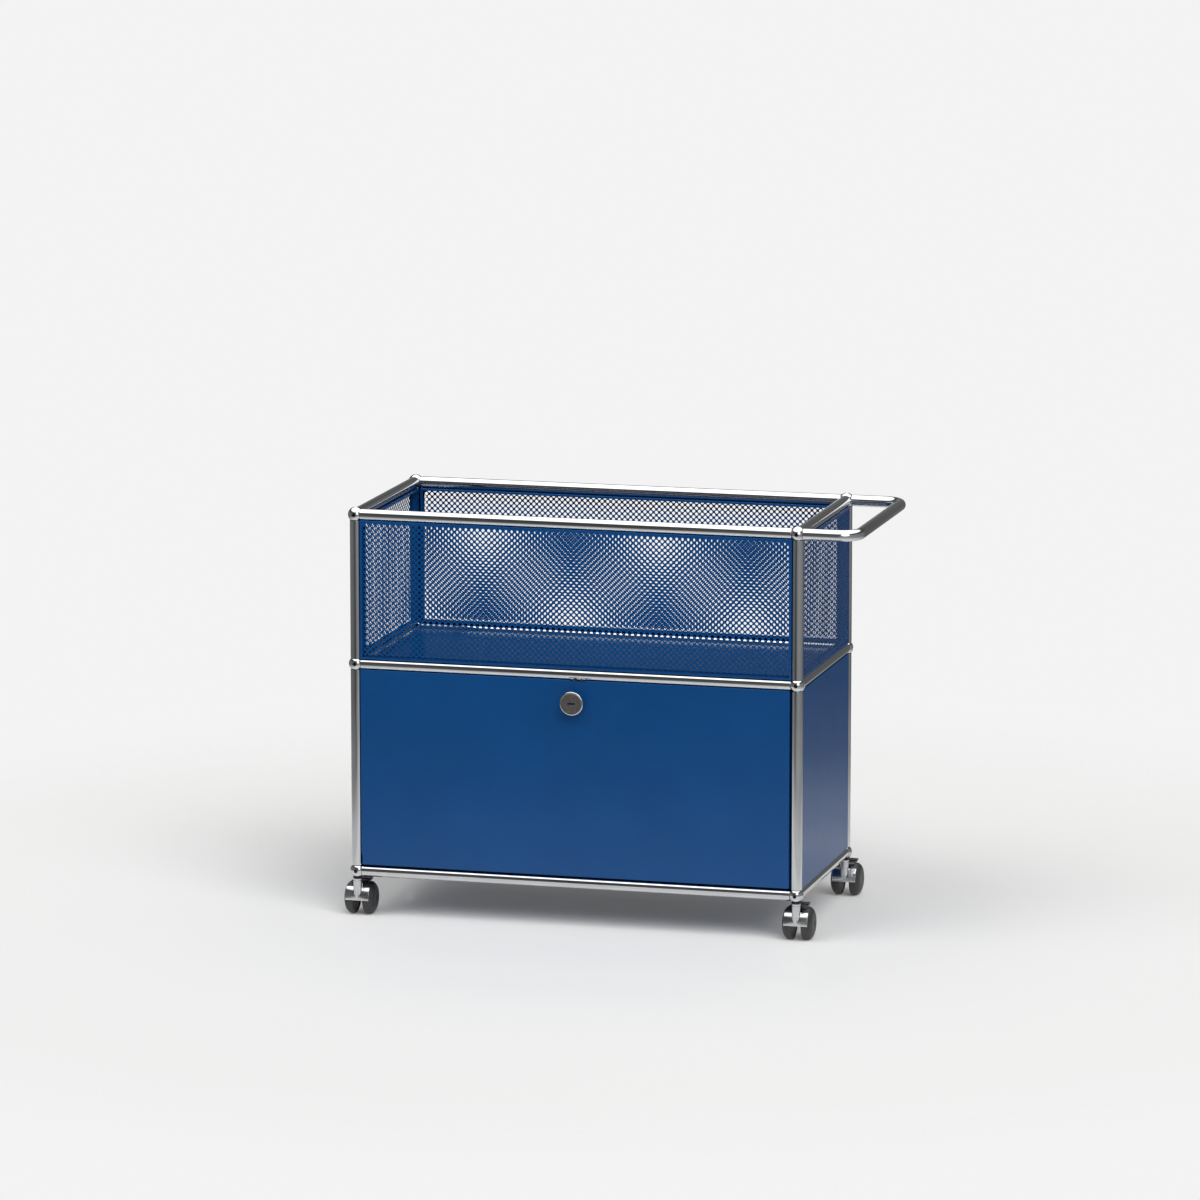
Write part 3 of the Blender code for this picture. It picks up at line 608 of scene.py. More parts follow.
class Finish(Nodes):
    """A procedural material."""

    def __init__(self, name):
        self.material = bpy.data.materials.new(name)
        self.material.use_nodes = True
        super().__init__(self.material.node_tree)
        self.shader = self.tree.nodes["Principled BSDF"]
        self.place = self.add("ShaderNodeTexCoord").outputs["Object"]

    def noise(self, scale, detail=2.0, stretch=(1, 1, 1)):
        """Noise in object space. Stretch divides its scale along each axis."""
        source = self.place
        if tuple(stretch) != (1, 1, 1):
            source = self.add("ShaderNodeMapping", Vector=self.place, Scale=stretch).outputs["Vector"]
        return self.add("ShaderNodeTexNoise", Vector=source, Scale=scale, Detail=detail).outputs["Fac"]

    def span(self, source, low, high, start=0.3, end=0.7, smooth=False):
        """Bring a pattern between start and end to the range from low to high."""
        ends = {"From_Min": start, "From_Max": end, "To_Min": low, "To_Max": high}
        node = self.add("ShaderNodeMapRange", Value=source, **ends)
        if smooth:
            node.interpolation_type = "SMOOTHSTEP"
        return node.outputs["Result"]

    def blend(self, share, first, second, way="MIX"):
        """Mix, add or multiply two colours."""
        node = self.add("ShaderNodeMix")
        node.data_type = "RGBA"
        node.blend_type = way
        self.feed(node.inputs["Factor"], share)
        for socket, colour in zip((node.inputs[6], node.inputs[7]), (first, second)):
            self.feed(socket, colour if isinstance(colour, bpy.types.NodeSocket) else (*colour, 1))
        return node.outputs[2]

    def bump(self, source, strength, distance, before=None):
        """Bumps from a pattern, over others where some are given."""
        node = self.add("ShaderNodeBump", Strength=strength, Distance=distance, Height=source)
        if before:
            self.feed(node.inputs["Normal"], before)
        return node.outputs["Normal"]

    def glow_ramp(self, source, stops, top):
        """A smooth curve through (place, level) stops, its levels as shares of the top one."""
        ramp = self.add("ShaderNodeValToRGB", Fac=source)
        ramp.color_ramp.interpolation = "EASE"
        for index, (spot, level) in enumerate(stops):
            stop = ramp.color_ramp.elements[index] if index < 2 else ramp.color_ramp.elements.new(spot)
            stop.position = spot
            stop.color = (level / top, level / top, level / top, 1)
        return ramp.outputs["Color"]

    def connect(self, **sockets):
        """Feed the shader's named sockets, and give the material back."""
        for name, source in sockets.items():
            self.feed(self.shader.inputs[name.replace("_", " ")], source)
        return self.material

    def surface(self, shader):
        """Show a shader on the surface, and give the material back."""
        self.feed(self.tree.nodes["Material Output"].inputs["Surface"], shader)
        return self.material


def shade(colour, share):
    """A colour made lighter or darker by a share."""
    return tuple(min(1, channel * share) for channel in colour)


@cache
def chrome_finish():
    """Polished chrome plate: faint clouds, wiping marks and the odd soft speck."""
    colour = tuple(bpy.context.scene.trolley_colours.chrome)
    finish = Finish("chrome_plate")
    clouds = finish.noise(28, 4)
    wipes = finish.noise(160, 3, (1, 1, 0.25))
    tone = finish.blend(finish.span(clouds, 0, 1), shade(colour, 0.95), shade(colour, 1.03))
    wiped = finish.span(wipes, 0.0, 0.025, 0.5, 0.8)
    rough = finish.math("ADD", finish.span(clouds, 0.030, 0.060), wiped)
    waves = finish.bump(finish.noise(45, 1), 0.05, 0.0002)
    return finish.connect(
        Base_Color=tone, Metallic=1.0, Roughness=rough, Normal=waves, Specular_IOR_Level=0.5
    )


@cache
def housing_finish():
    """Satin plated casting: softer reflections than the tubes, with a fine cast grain."""
    colour = tuple(bpy.context.scene.trolley_colours.chrome)
    finish = Finish("caster_plate")
    grain = finish.noise(900, 3)
    clouds = finish.noise(70, 4)
    tone = finish.blend(finish.span(clouds, 0, 1), shade(colour, 0.92), shade(colour, 1.06))
    rough = finish.span(clouds, 0.13, 0.20)
    skin = finish.bump(grain, 0.15, 0.0001)
    return finish.connect(Base_Color=tone, Metallic=1.0, Roughness=rough, Normal=skin, Specular_IOR_Level=0.5)


@cache
def paint_finish(name="blue_powder_coat", shine=PAINT_SHINE):
    """Smooth powder coat: a fine orange peel, slight clouding and faint rubbing marks."""
    colour = tuple(bpy.context.scene.trolley_colours.paint)
    finish = Finish(name)
    clouds = finish.noise(9, 4)
    grain = finish.noise(1500, 2)
    peel = finish.noise(520, 2)
    rubbing = finish.noise(70, 5, (0.35, 1, 1))
    tone = finish.blend(finish.span(clouds, 0, 1), shade(colour, 0.94), shade(colour, 1.06))
    speckled = finish.blend(finish.span(grain, 0, 0.5, 0.5, 0.85), tone, shade(colour, 1.35))
    rough = finish.span(rubbing, 0.18, 0.23)
    skin = finish.bump(peel, 0.10, 0.00025)
    skin = finish.bump(grain, 0.05, 0.00008, skin)
    return finish.connect(Base_Color=speckled, Roughness=rough, Normal=skin, Specular_IOR_Level=shine)


def knob_finish():
    """Brushed and blackened metal, with short upright strokes."""
    colour = tuple(bpy.context.scene.trolley_colours.knob)
    finish = Finish("brushed_knob")
    strokes = finish.noise(1400, 3, (1, 1, 0.12))
    patches = finish.noise(160, 3)
    tone = finish.blend(finish.span(strokes, 0, 1), shade(colour, 0.75), shade(colour, 1.30))
    rough = finish.span(patches, 0.30, 0.42)
    lines = finish.bump(strokes, 0.25, 0.00008)
    return finish.connect(Base_Color=tone, Metallic=1.0, Roughness=rough, Normal=lines)


def plastic_finish(name, colour, low, high, scale, dust):
    """Moulded black plastic with a fine grain and a little dust."""
    colour = tuple(colour)
    finish = Finish(name)
    grain = finish.noise(scale, 3)
    dusty = finish.noise(60, 5)
    tone = finish.blend(finish.span(dusty, 0, 1, 0.45, 0.75), colour, shade(colour, dust))
    rough = finish.span(dusty, low, high)
    skin = finish.bump(grain, 0.12, 0.0001)
    return finish.connect(Base_Color=tone, Roughness=rough, Normal=skin, Specular_IOR_Level=0.5)


@cache
def wheel_finish():
    return plastic_finish("black_wheel", bpy.context.scene.trolley_colours.wheel, 0.42, 0.55, 900, 1.6)


@cache
def lever_finish():
    return plastic_finish("black_lever", bpy.context.scene.trolley_colours.lever, 0.26, 0.36, 1200, 1.3)


def drilled_ball(name, ways):
    """A chromed ball with a countersunk screw hole on each free side."""
    sizes = bpy.context.scene.trolley_sizes
    radius = sizes.ball_diameter / 2
    hole = sizes.ball_hole / 2
    mouth, end = hole + COUNTERSINK, radius + DRILL_OVERRUN
    ball = begin(name, bpy.ops.mesh.primitive_uv_sphere_add, segments=64, ring_count=32, radius=radius)
    tidy()
    profile = [(0, radius - SCREW_DEPTH), (hole, radius - SCREW_DEPTH), (hole, radius - COUNTERSINK)]
    profile += [(mouth, radius + COUNTERSINK_RISE), (mouth, end), (0, end)]
    for way in ways:
        drill = turned("drill", profile, 24)
        turn_place(drill, facing(way))
        combine(ball, drill, "DIFFERENCE")
    return soften(ball)


def shade_sleeves(name, ways):
    """Dark threaded sleeves, closed at the bottom, for a ball's free holes: painted shade that darkens the
    holes.
    """
    sizes = bpy.context.scene.trolley_sizes
    outer = sizes.ball_hole / 2 - SLEEVE_GAP
    top = sizes.ball_diameter / 2 - SLEEVE_SINK
    bottom = sizes.ball_diameter / 2 - SCREW_DEPTH + SLEEVE_LIFT
    profile = [(0, bottom), (outer, bottom), (outer, top)]
    for turn in range(THREAD_TURNS):
        ridge = top - THREAD_CREST - THREAD_PITCH * turn
        profile += [(outer - THREAD_CREST, ridge), (outer - THREAD_ROOT, ridge - THREAD_PITCH / 2)]
    profile += [(outer - THREAD_CREST, bottom + THREAD_PITCH / 2), (0, bottom + THREAD_PITCH / 2)]
    sleeves = [turn_place(turned(name, profile, 20), facing(way)) for way in ways]
    return soften(join_to(*sleeves))


class TROLLEY_OT_balls(bpy.types.Operator):
    """Add the twelve chromed balls"""

    bl_idname = "trolley.balls"
    bl_label = "Balls"

    def execute(self, context):
        free = {"two": ("left", "front"), "three": ("left", "front", "up"), "handle": ("front", "up")}
        kinds = {kind: drilled_ball(f"ball_{kind}", ways) for kind, ways in free.items()}
        thread_shades = {kind: shade_sleeves(f"thread_{kind}", ways) for kind, ways in free.items()}
        turns = {("front", "left"): 0, ("front", "right"): 1, ("back", "right"): 2, ("back", "left"): 3}
        for level in LEVELS:
            for row in ROWS:
                for side in SIDES:
                    kind, steps = "two", turns[row, side]
                    if level == "top":
                        kind = "three" if side == "left" else "handle"
                        if side == "right":
                            steps = 0 if row == "front" else 2
                    node = f"ball_{level}_{row}_{side}"
                    turn = Matrix.Rotation(steps * pi / 2, 4, "Z")
                    place = at(POST_X[side], POST_Y[row], RAIL_Z[level]) @ turn
                    ball = duplicate(kinds[kind], f"{node}_chromed", place)
                    install(ball, chrome_finish(), "chrome", "frame", node)
                    # A dark sleeve in each free hole: painted shade.
                    thread = duplicate(thread_shades[kind], f"{node}_threads", place)
                    install(thread, lever_finish(), "lever_black", "frame", node)
        for model in (*kinds.values(), *thread_shades.values()):
            bpy.data.objects.remove(model)
        return {"FINISHED"}


def straight_tube(name, length):
    """A hollow tube along Z, its ends chamfered where they meet the balls."""
    sizes = bpy.context.scene.trolley_sizes
    radius = sizes.tube_diameter / 2
    half = length / 2
    tube = begin(
        name, bpy.ops.mesh.primitive_cylinder_add, vertices=TUBE_SIDES, radius=radius,
        depth=length - 2 * CHAMFER, end_fill_type="NOTHING",
    )
    pick("EDGE", lambda edge: edge.is_boundary)
    pull_scaled((radius - CHAMFER) / radius, half / (half - CHAMFER))
    pull_scaled((radius - sizes.tube_wall) / (radius - CHAMFER), (half - TUBE_INNER_SET) / half)
    bpy.ops.mesh.bridge_edge_loops()
    tidy()
    return soften(tube, 30)


class TROLLEY_OT_tubes(bpy.types.Operator):
    """Add the twelve rails and the eight posts"""

    bl_idname = "trolley.tubes"
    bl_label = "Rails and posts"

    def execute(self, context):
        def length(node, axis):
            low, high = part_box(node)
            return high[axis] - low[axis]

        kinds = {
            "across": (straight_tube("tube_across", length("rail_top_front", 0)), ALONG_X),
            "along": (straight_tube("tube_along", length("rail_top_left", 1)), ALONG_Y),
            "lower": (straight_tube("tube_lower", length("post_lower_back_left", 2)), Matrix()),
            "upper": (straight_tube("tube_upper", length("post_upper_back_left", 2)), Matrix()),
        }
        spots = []
        for level in LEVELS:
            for row in ROWS:
                spots.append((f"rail_{level}_{row}", "across", (MIDDLE_X, POST_Y[row], RAIL_Z[level])))
            for side in SIDES:
                spots.append((f"rail_{level}_{side}", "along", (POST_X[side], MIDDLE_Y, RAIL_Z[level])))
        for kind in ("lower", "upper"):
            for row in ROWS:
                for side in SIDES:
                    node = f"post_{kind}_{row}_{side}"
                    spots.append((node, kind, (POST_X[side], POST_Y[row], middle(node, 2))))
        for node, kind, place in spots:
            model, turn = kinds[kind]
            tube = duplicate(model, f"{node}_chromed", Matrix.Translation(place) @ turn)
            install(tube, chrome_finish(), "chrome", "frame", node)
        for model, _ in kinds.values():
            bpy.data.objects.remove(model)
        return {"FINISHED"}


class TROLLEY_OT_handle(bpy.types.Operator):
    """Add the bent push handle"""

    bl_idname = "trolley.handle"
    bl_label = "Push handle"

    def execute(self, context):
        sizes = context.scene.trolley_sizes
        radius = sizes.tube_diameter / 2
        bend = sizes.handle_bend
        low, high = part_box("push_handle")
        start = low.x + CHAMFER
        corner = high.x - radius - bend
        front, back, z = POST_Y["front"], POST_Y["back"], RAIL_Z["top"]
        handle = begin(
            "push_handle_chromed", bpy.ops.mesh.primitive_circle_add, vertices=TUBE_SIDES, radius=radius
        )
        bpy.ops.object.mode_set(mode="OBJECT")
        turn_place(handle, at(start, front, z) @ ALONG_X)
        reopen(handle)
        bpy.ops.mesh.select_mode(type="EDGE")
        bpy.ops.mesh.select_all(action="SELECT")
        pull(corner - start, 0, 0)
        along, home = (0, back - front - 2 * bend, 0), (start - corner, 0, 0)
        for y, run in ((front + bend, along), (back - bend, home)):
            bpy.ops.mesh.spin(steps=BEND_STEPS, angle=-pi / 2, center=(corner, y, z), axis=(0, 0, 1))
            pull(*run)
        share = (radius - CHAMFER) / radius
        for y in (front, back):
            pick("EDGE", lambda edge: edge.is_boundary and abs(centre_of(edge).y - y) < 2 * radius)
            bpy.ops.mesh.extrude_region_move()
            bpy.ops.transform.resize(value=(1, share, share), center_override=(start, y, z))
            bpy.ops.transform.translate(value=(-CHAMFER, 0, 0))
        tidy()
        wall = HANDLE_WALL_SHARE * sizes.tube_wall
        modify(handle, "SOLIDIFY", thickness=wall, offset=-1, use_even_offset=False)
        soften(handle, 30)
        install(handle, chrome_finish(), "chrome", "frame", "push_handle")
        return {"FINISHED"}


def folded_sheet(name, width, height, flange, drawn_in=(0, 0, 0, 0)):
    """The skin of a folded panel, its face at Z = 0, still in Edit Mode.

    Behind a short lip its flanges are drawn in at the left, right, lower and upper side.
    """
    sizes = bpy.context.scene.trolley_sizes
    left, right, lower, upper = drawn_in
    panel = begin(name, bpy.ops.mesh.primitive_plane_add, size=1)
    bpy.ops.transform.resize(value=(width, height, 1))
    pick("EDGE", lambda edge: edge.is_boundary)
    pull(0, 0, -sizes.lip)
    pull(0, 0, sizes.lip - sizes.slope)
    narrow = ((width - left - right) / width, (height - lower - upper) / height, 1)
    bpy.ops.transform.resize(value=narrow, center_override=(0, 0, 0))
    bpy.ops.transform.translate(value=((left - right) / 2, (lower - upper) / 2, 0))
    pull(0, 0, sizes.slope - flange)
    pick("EDGE", lambda edge: not edge.is_boundary and edge.calc_face_angle() > FOLD_ANGLE)
    bpy.ops.mesh.bevel(offset=sizes.fold, segments=4, affect="EDGES", clamp_overlap=False)
    return panel


def thicken_sheet(panel, thickness):
    """Turn the faces outwards and give the sheet its thickness behind them."""
    reopen(panel)
    tidy()
    largest = max(panel.data.polygons, key=lambda face: face.area)
    if largest.normal.z < 0:
        reopen(panel)
        bpy.ops.mesh.select_all(action="SELECT")
        bpy.ops.mesh.flip_normals()
    modify(panel, "SOLIDIFY", thickness=thickness, offset=-1, use_even_offset=True)
    return soften(panel, 30, weighted=True)


def punched_grid(name, across, up, pitch, hole):
    """A grid of holes, each in a diamond of sheet whose corners touch its neighbours."""
    cell = begin(name, bpy.ops.mesh.primitive_circle_add, vertices=12, radius=hole)
    bpy.ops.mesh.select_all(action="DESELECT")
    bpy.ops.mesh.primitive_circle_add(vertices=4, radius=0.5)
    bpy.ops.transform.resize(value=(pitch[0], pitch[1], 1), center_override=(0, 0, 0))
    bpy.ops.mesh.select_all(action="SELECT")
    bpy.ops.mesh.bridge_edge_loops()
    bpy.ops.transform.translate(value=(-(across - 1) * pitch[0] / 2, -(up - 1) * pitch[1] / 2, 0))
    for count, step in ((across, (pitch[0], 0, 0)), (up, (0, pitch[1], 0))):
        modify(
            cell, "ARRAY", count=count, use_relative_offset=False, use_constant_offset=True,
            constant_offset_displace=step,
        )
    return cell


def punched_field(name, grids, pitch, hole):
    """A sheet of holes in two offset grids, trimmed straight just outside the outer holes."""
    field = join_to(*(punched_grid(name, across, up, pitch, hole) for across, up in grids))
    field.name = name
    reopen(field)
    bpy.ops.mesh.select_all(action="SELECT")
    bpy.ops.mesh.remove_doubles(threshold=FIELD_WELD)
    half = [(max(grid[axis] for grid in grids) - 1) * pitch[axis] / 2 + hole + FIELD_RIM for axis in (0, 1)]
    ways = (FACING["right"], FACING["left"], FACING["back"], FACING["front"])
    for way, reach in zip(ways, (half[0], half[0], half[1], half[1])):
        bpy.ops.mesh.select_all(action="SELECT")
        bpy.ops.mesh.bisect(plane_co=way * reach, plane_no=way, clear_outer=True)
    return field, half


def perforated_panel(name, width, height, flange, drawn_in):
    """A folded panel with a field of punched holes."""
    sizes = bpy.context.scene.trolley_sizes
    pitch = tuple(sizes.hole_pitch)
    hole = sizes.hole_diameter / 2
    columns = round((width - 2 * sizes.hole_margin) / pitch[0]) + 1
    rows = round((height - 2 * sizes.hole_margin) / pitch[1]) + 1
    grids = ((columns - 1, rows), (columns, rows - 1))
    field, half = punched_field("field", grids, pitch, hole)
    panel = folded_sheet(name, width, height, flange, drawn_in)
    pick("FACE", lambda face: face.calc_area() > width * height / 2)
    bpy.ops.mesh.extrude_region_move()
    share = [(half[axis] + FIELD_GAP) / (side / 2 - sizes.fold) for axis, side in ((0, width), (1, height))]
    bpy.ops.transform.resize(value=(share[0], share[1], 1), center_override=(0, 0, 0))
    bpy.ops.mesh.delete(type="ONLY_FACE")
    reopen(join_to(panel, field))

    def off_holes(edge):
        """Whether an open edge on the face lies away from every hole's own rim."""
        if not edge.is_boundary or abs(centre_of(edge).z) > FACE_REACH:
            return False
        for grid in grids:
            reach = []
            for place, count, step in zip(centre_of(edge), grid, pitch):
                index = min(max(round(place / step + (count - 1) / 2), 0), count - 1)
                reach.append(place - (index - (count - 1) / 2) * step)
            if hypot(*reach) < hole + RIM_REACH:
                return False
        return True

    pick("EDGE", off_holes)
    bpy.ops.mesh.fill(use_beauty=True)
    return thicken_sheet(panel, sizes.mesh_sheet)


def panel_sizes(node, way):
    """Width, height, flange and place of a panel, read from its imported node."""
    low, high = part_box(node)
    width, height, flange = (abs((high - low).dot(axis)) for axis in axes_of(way))
    return width, height, flange, (low + high) / 2 + FACING[way] * flange / 2


class TROLLEY_OT_perforated_panels(bpy.types.Operator):
    """Add the four perforated panels of the basket"""

    bl_idname = "trolley.perforated_panels"
    bl_label = "Perforated panels"

    def execute(self, context):
        drawn_in = (context.scene.trolley_sizes.drawn_in,) * 4
        for pair in (ROWS, SIDES):
            width, height, flange, _ = panel_sizes(f"mesh_panel_{pair[0]}", pair[0])
            model = perforated_panel("perforated", width, height, flange, drawn_in)
            for way in pair:
                place = panel_sizes(f"mesh_panel_{way}", way)[3]
                panel = duplicate(model, f"perforated_panel_{way}", facing(way, place))
                install(panel, paint_finish(), "blue_paint", "frame", f"mesh_panel_{way}")
            bpy.data.objects.remove(model)
        return {"FINISHED"}


class TROLLEY_OT_plain_panels(bpy.types.Operator):
    """Add the compartment's walls and base and the basket's floor"""

    bl_idname = "trolley.plain_panels"
    bl_label = "Plain panels"

    def execute(self, context):
        sizes = context.scene.trolley_sizes
        panels = {"back_panel": "back", "side_panel_left": "left", "side_panel_right": "right"}
        panels |= {"tray_floor": "up", "base_panel": "up"}
        for node, way in panels.items():
            width, height, flange, place = panel_sizes(node, way)
            drawn_in = (0,) * 4 if way == "up" else (sizes.drawn_in,) * 4
            panel = folded_sheet(f"{node}_painted", width, height, flange, drawn_in)
            thicken_sheet(panel, sizes.sheet)
            turn_place(panel, facing(way, place))
            # The side walls take the copy with less shine: painted shade.
            coat = paint_finish("blue_side_coat_shaded", SIDE_SHADE_SHINE) if way in SIDES else paint_finish()
            install(panel, coat, "blue_paint", "frame", node)
        return {"FINISHED"}


class TROLLEY_OT_door(bpy.types.Operator):
    """Add the drop-down door with its hinge pins"""

    bl_idname = "trolley.door"
    bl_label = "Door"

    def execute(self, context):
        sizes = context.scene.trolley_sizes
        low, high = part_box("door_panel")
        hinge = joint_place("door_hinge")
        lock = joint_place("lock_turn")
        inset = sizes.tube_diameter / 2 + sizes.door_gap
        half = (POST_X["right"] - POST_X["left"]) / 2 - inset
        left = POST_X["left"] + sizes.face_edge
        right = hinge.x + half
        drawn_in = (inset - sizes.face_edge, 0, 0, high.z - RAIL_Z["middle"] + UPPER_FLANGE_DROP)
        place = Vector(((left + right) / 2, lock.y, (low.z + high.z) / 2))
        door = folded_sheet("door_painted", right - left, high.z - low.z, high.y - lock.y, drawn_in)
        thicken_sheet(door, sizes.sheet)
        turn_place(door, facing("front", place))
        keeper_x = hinge.x + sizes.keeper_shift
        half_notch = sizes.keeper_width / 2 + NOTCH_GAP
        notch_z = (RAIL_Z["middle"] - NOTCH_DROP, high.z + DOOR_OVERRUN)
        relief_z = (low.z - DOOR_OVERRUN, hinge.z + RELIEF_RISE)
        for name, (x0, x1), (z0, z1) in (
            ("keeper_notch", (keeper_x - half_notch, keeper_x + half_notch), notch_z),
            ("hinge_relief", (left - DOOR_OVERRUN, hinge.x - half - RELIEF_GAP), relief_z),
        ):
            cutter = box_between(name, (x0, lock.y - DOOR_OVERRUN, z0), (x1, hinge.y, z1))
            combine(door, cutter, "DIFFERENCE")
        bore = plug("lock_bore", LOCK_BORE_RADIUS, -LOCK_BORE_BACK, LOCK_BORE_FRONT, 48)
        turn_place(bore, facing("front", lock))
        combine(door, bore, "DIFFERENCE")
        soften(door, 30, weighted=True)
        install(door, paint_finish(), "blue_paint", "door", "door_panel")
        for side, reach, turn, sign in (("left", low.x, AGAINST_X, -1), ("right", high.x, ALONG_X, 1)):
            inner = hinge.x + (half - PIN_SEAT) * sign
            end = abs(reach - inner) / 2
            profile = [(0, -end), (PIN_RADIUS, -end), (PIN_RADIUS, end - PIN_CHAMFER)]
            profile += [(PIN_RADIUS - PIN_CHAMFER, end), (0, end)]
            pin = turned(f"hinge_pin_{side}", profile, 24)
            turn_place(pin, at((reach + inner) / 2, hinge.y, hinge.z) @ turn)
            soften(pin, 30)
            install(pin, lever_finish(), "lever_black", "door", "door_panel")
        return {"FINISHED"}


def key_slot(depth, top):
    """A slot-shaped block, lying across the knob."""
    sizes = bpy.context.scene.trolley_sizes
    x, y = sizes.slot_length / 2, sizes.slot_width / 2
    slot = box_between("key_slot", (-x, -y, top - depth), (x, y, top))
    pick("EDGE", lambda edge: rise_of(edge) > depth / 2)
    bpy.ops.mesh.bevel(offset=sizes.slot_width * SLOT_CORNER_SHARE, segments=4, affect="EDGES")
    tidy()
    return slot


def polished_knob(top, radius, inner, back):
    """The knob's rim and recess, its neck and collar, and the shaft through the door."""
    floor, under = top - KNOB_RECESS, top - KNOB_DEPTH
    profile = [(0, floor), (inner, floor), (inner, top - RIM_STEP), (radius - KNOB_EDGE, top)]
    profile += [(radius - KNOB_EDGE * (1 - sin(a)), top - KNOB_EDGE * (1 - cos(a))) for a in KNOB_EDGE_TURNS]
    profile += [(radius, under + KNOB_BACK_EDGE), (radius - KNOB_BACK_EDGE, under)]
    profile += [(NECK_RADIUS + NECK_FLARE[0], under), (NECK_RADIUS, under - NECK_FLARE[1]), *COLLAR_OUTLINE]
    profile += [(COLLAR_OUTLINE[-1][0], back), (0, back)]
    return turned("lock_knob_polished", profile, 64)


def brushed_face(top, radius):
    """The disc in the knob's recess, with a fine ring."""
    profile = [(0, top - FACE_BACK), (radius, top - FACE_BACK), (radius, top - FACE_EDGE_DEPTH)]
    profile += [(radius - CHAMFER, top - FACE_DROP), *((ring, top - depth) for ring, depth in FACE_RING)]
    return turned("lock_face", profile, 64)


class TROLLEY_OT_lock(bpy.types.Operator):
    """Add the lock: knob, brushed face, a dark block in the key slot as painted shade, shaft and cam"""

    bl_idname = "trolley.lock"
    bl_label = "Lock"

    def execute(self, context):
        low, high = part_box("lock_knob")
        lock = joint_place("lock_turn")
        top = lock.y - low.y
        radius = lock.x - low.x
        inner = radius - context.scene.trolley_sizes.knob_rim - RIM_LIP
        back = lock.y - high.y
        slot_depth, slot_rise = SLOT_CUT
        knob = polished_knob(top, radius, inner, back + SHAFT_END)
        combine(knob, key_slot(slot_depth, top + slot_rise), "DIFFERENCE")
        soften(knob, 32)
        face = brushed_face(top, inner - FACE_GAP)
        combine(face, key_slot(slot_depth, top + slot_rise), "DIFFERENCE")
        soften(face, 30)
        # A dark block at the bottom of the key slot: painted shade in its depth.
        slot_shade = soften(key_slot(KNOB_RECESS, top - KNOB_RECESS), 30)
        reach = high.x - lock.x
        half, z = CAM_WIDTH / 2, back + CAM_LIFT
        cam = box_between("lock_cam", (-CAM_TAIL, -half, z - CAM_SHEET / 2), (reach, half, z + CAM_SHEET / 2))
        pick("EDGE", lambda edge: rise_of(edge) > CAM_SHEET / 2)
        bpy.ops.mesh.bevel(offset=CAM_CORNER, segments=6, affect="EDGES")
        tidy()
        round_edges(cam, SHEET_EDGE)
        soften(cam, 30)
        for piece, finish, slot in (
            (knob, chrome_finish(), "chrome"),
            (face, knob_finish(), "knob_metal"),
            (cam, chrome_finish(), "chrome"),
            (slot_shade, lever_finish(), "lever_black"),
        ):
            turn_place(piece, facing("front", lock))
            install(piece, finish, slot, "lock", "lock_knob")
        return {"FINISHED"}


class TROLLEY_OT_keeper(bpy.types.Operator):
    """Add the keeper clip under the middle front rail"""

    bl_idname = "trolley.keeper"
    bl_label = "Keeper"

    def execute(self, context):
        sizes = context.scene.trolley_sizes
        radius = sizes.tube_diameter / 2 + KEEPER_CLEARANCE
        low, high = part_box("rail_middle_front")
        hook = high.y - POST_Y["front"] - KEEPER_SHEET / 2
        turns = [radians(KEEPER_START + KEEPER_STEP * i) for i in range(KEEPER_STEPS)]
        points = [(0, -radius * cos(a), radius * sin(a)) for a in turns]
        points += [(0, hook - HOOK_BEND, -radius), (0, hook - CHAMFER, -radius - CHAMFER)]
        points += [(0, hook, -radius - HOOK_BEND), (0, hook, low.z - RAIL_Z["middle"])]
        keeper = drawn_line("keeper_clip", points)
        bpy.ops.mesh.select_all(action="SELECT")
        bpy.ops.transform.translate(value=(KEEPER_SHARES[0] * sizes.keeper_width, 0, 0))
        for start, end in zip(KEEPER_SHARES, KEEPER_SHARES[1:]):
            pull((end - start) * sizes.keeper_width, 0, 0)

        def in_notch(face):
            centre = centre_of(face)
            share = centre.x / sizes.keeper_width
            return centre.z > -radius * NOTCH_TOP_SHARE and any(a < share < b for a, b in NOTCH_SHARES)

        pick("FACE", in_notch)
        bpy.ops.mesh.delete(type="FACE")
        tidy()
        modify(keeper, "SOLIDIFY", thickness=KEEPER_SHEET, offset=0, use_even_offset=True)
        round_edges(keeper, SHEET_EDGE)
        soften(keeper, 30)
        turn_place(keeper, at(MIDDLE_X + sizes.keeper_shift, POST_Y["front"], RAIL_Z["middle"]))
        install(keeper, chrome_finish(), "chrome", "frame", "rail_middle_front")
        return {"FINISHED"}


def caster_axle(row, side):
    """The caster's stem on the floor and its axle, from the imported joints."""
    name = f"caster_{row}_{side}"
    stem = joint_place(f"{name}_swivel")
    foot = Vector((stem.x, stem.y, 0))
    return foot, joint_place(f"{name}_wheel_left_spin") - foot


def at_each_caster(model, label, finish, slot, part, body_part=""):
    """Copy a caster piece, modelled about the stem's foot on the floor, to all four casters."""
    for row in ROWS:
        for side in SIDES:
            name = f"caster_{row}_{side}"
            foot, _ = caster_axle(row, side)
            piece = duplicate(model, f"{name}_{label}", Matrix.Translation(foot))
            install(piece, finish, slot, name + body_part, f"{name}_{part}")
    bpy.data.objects.remove(model)


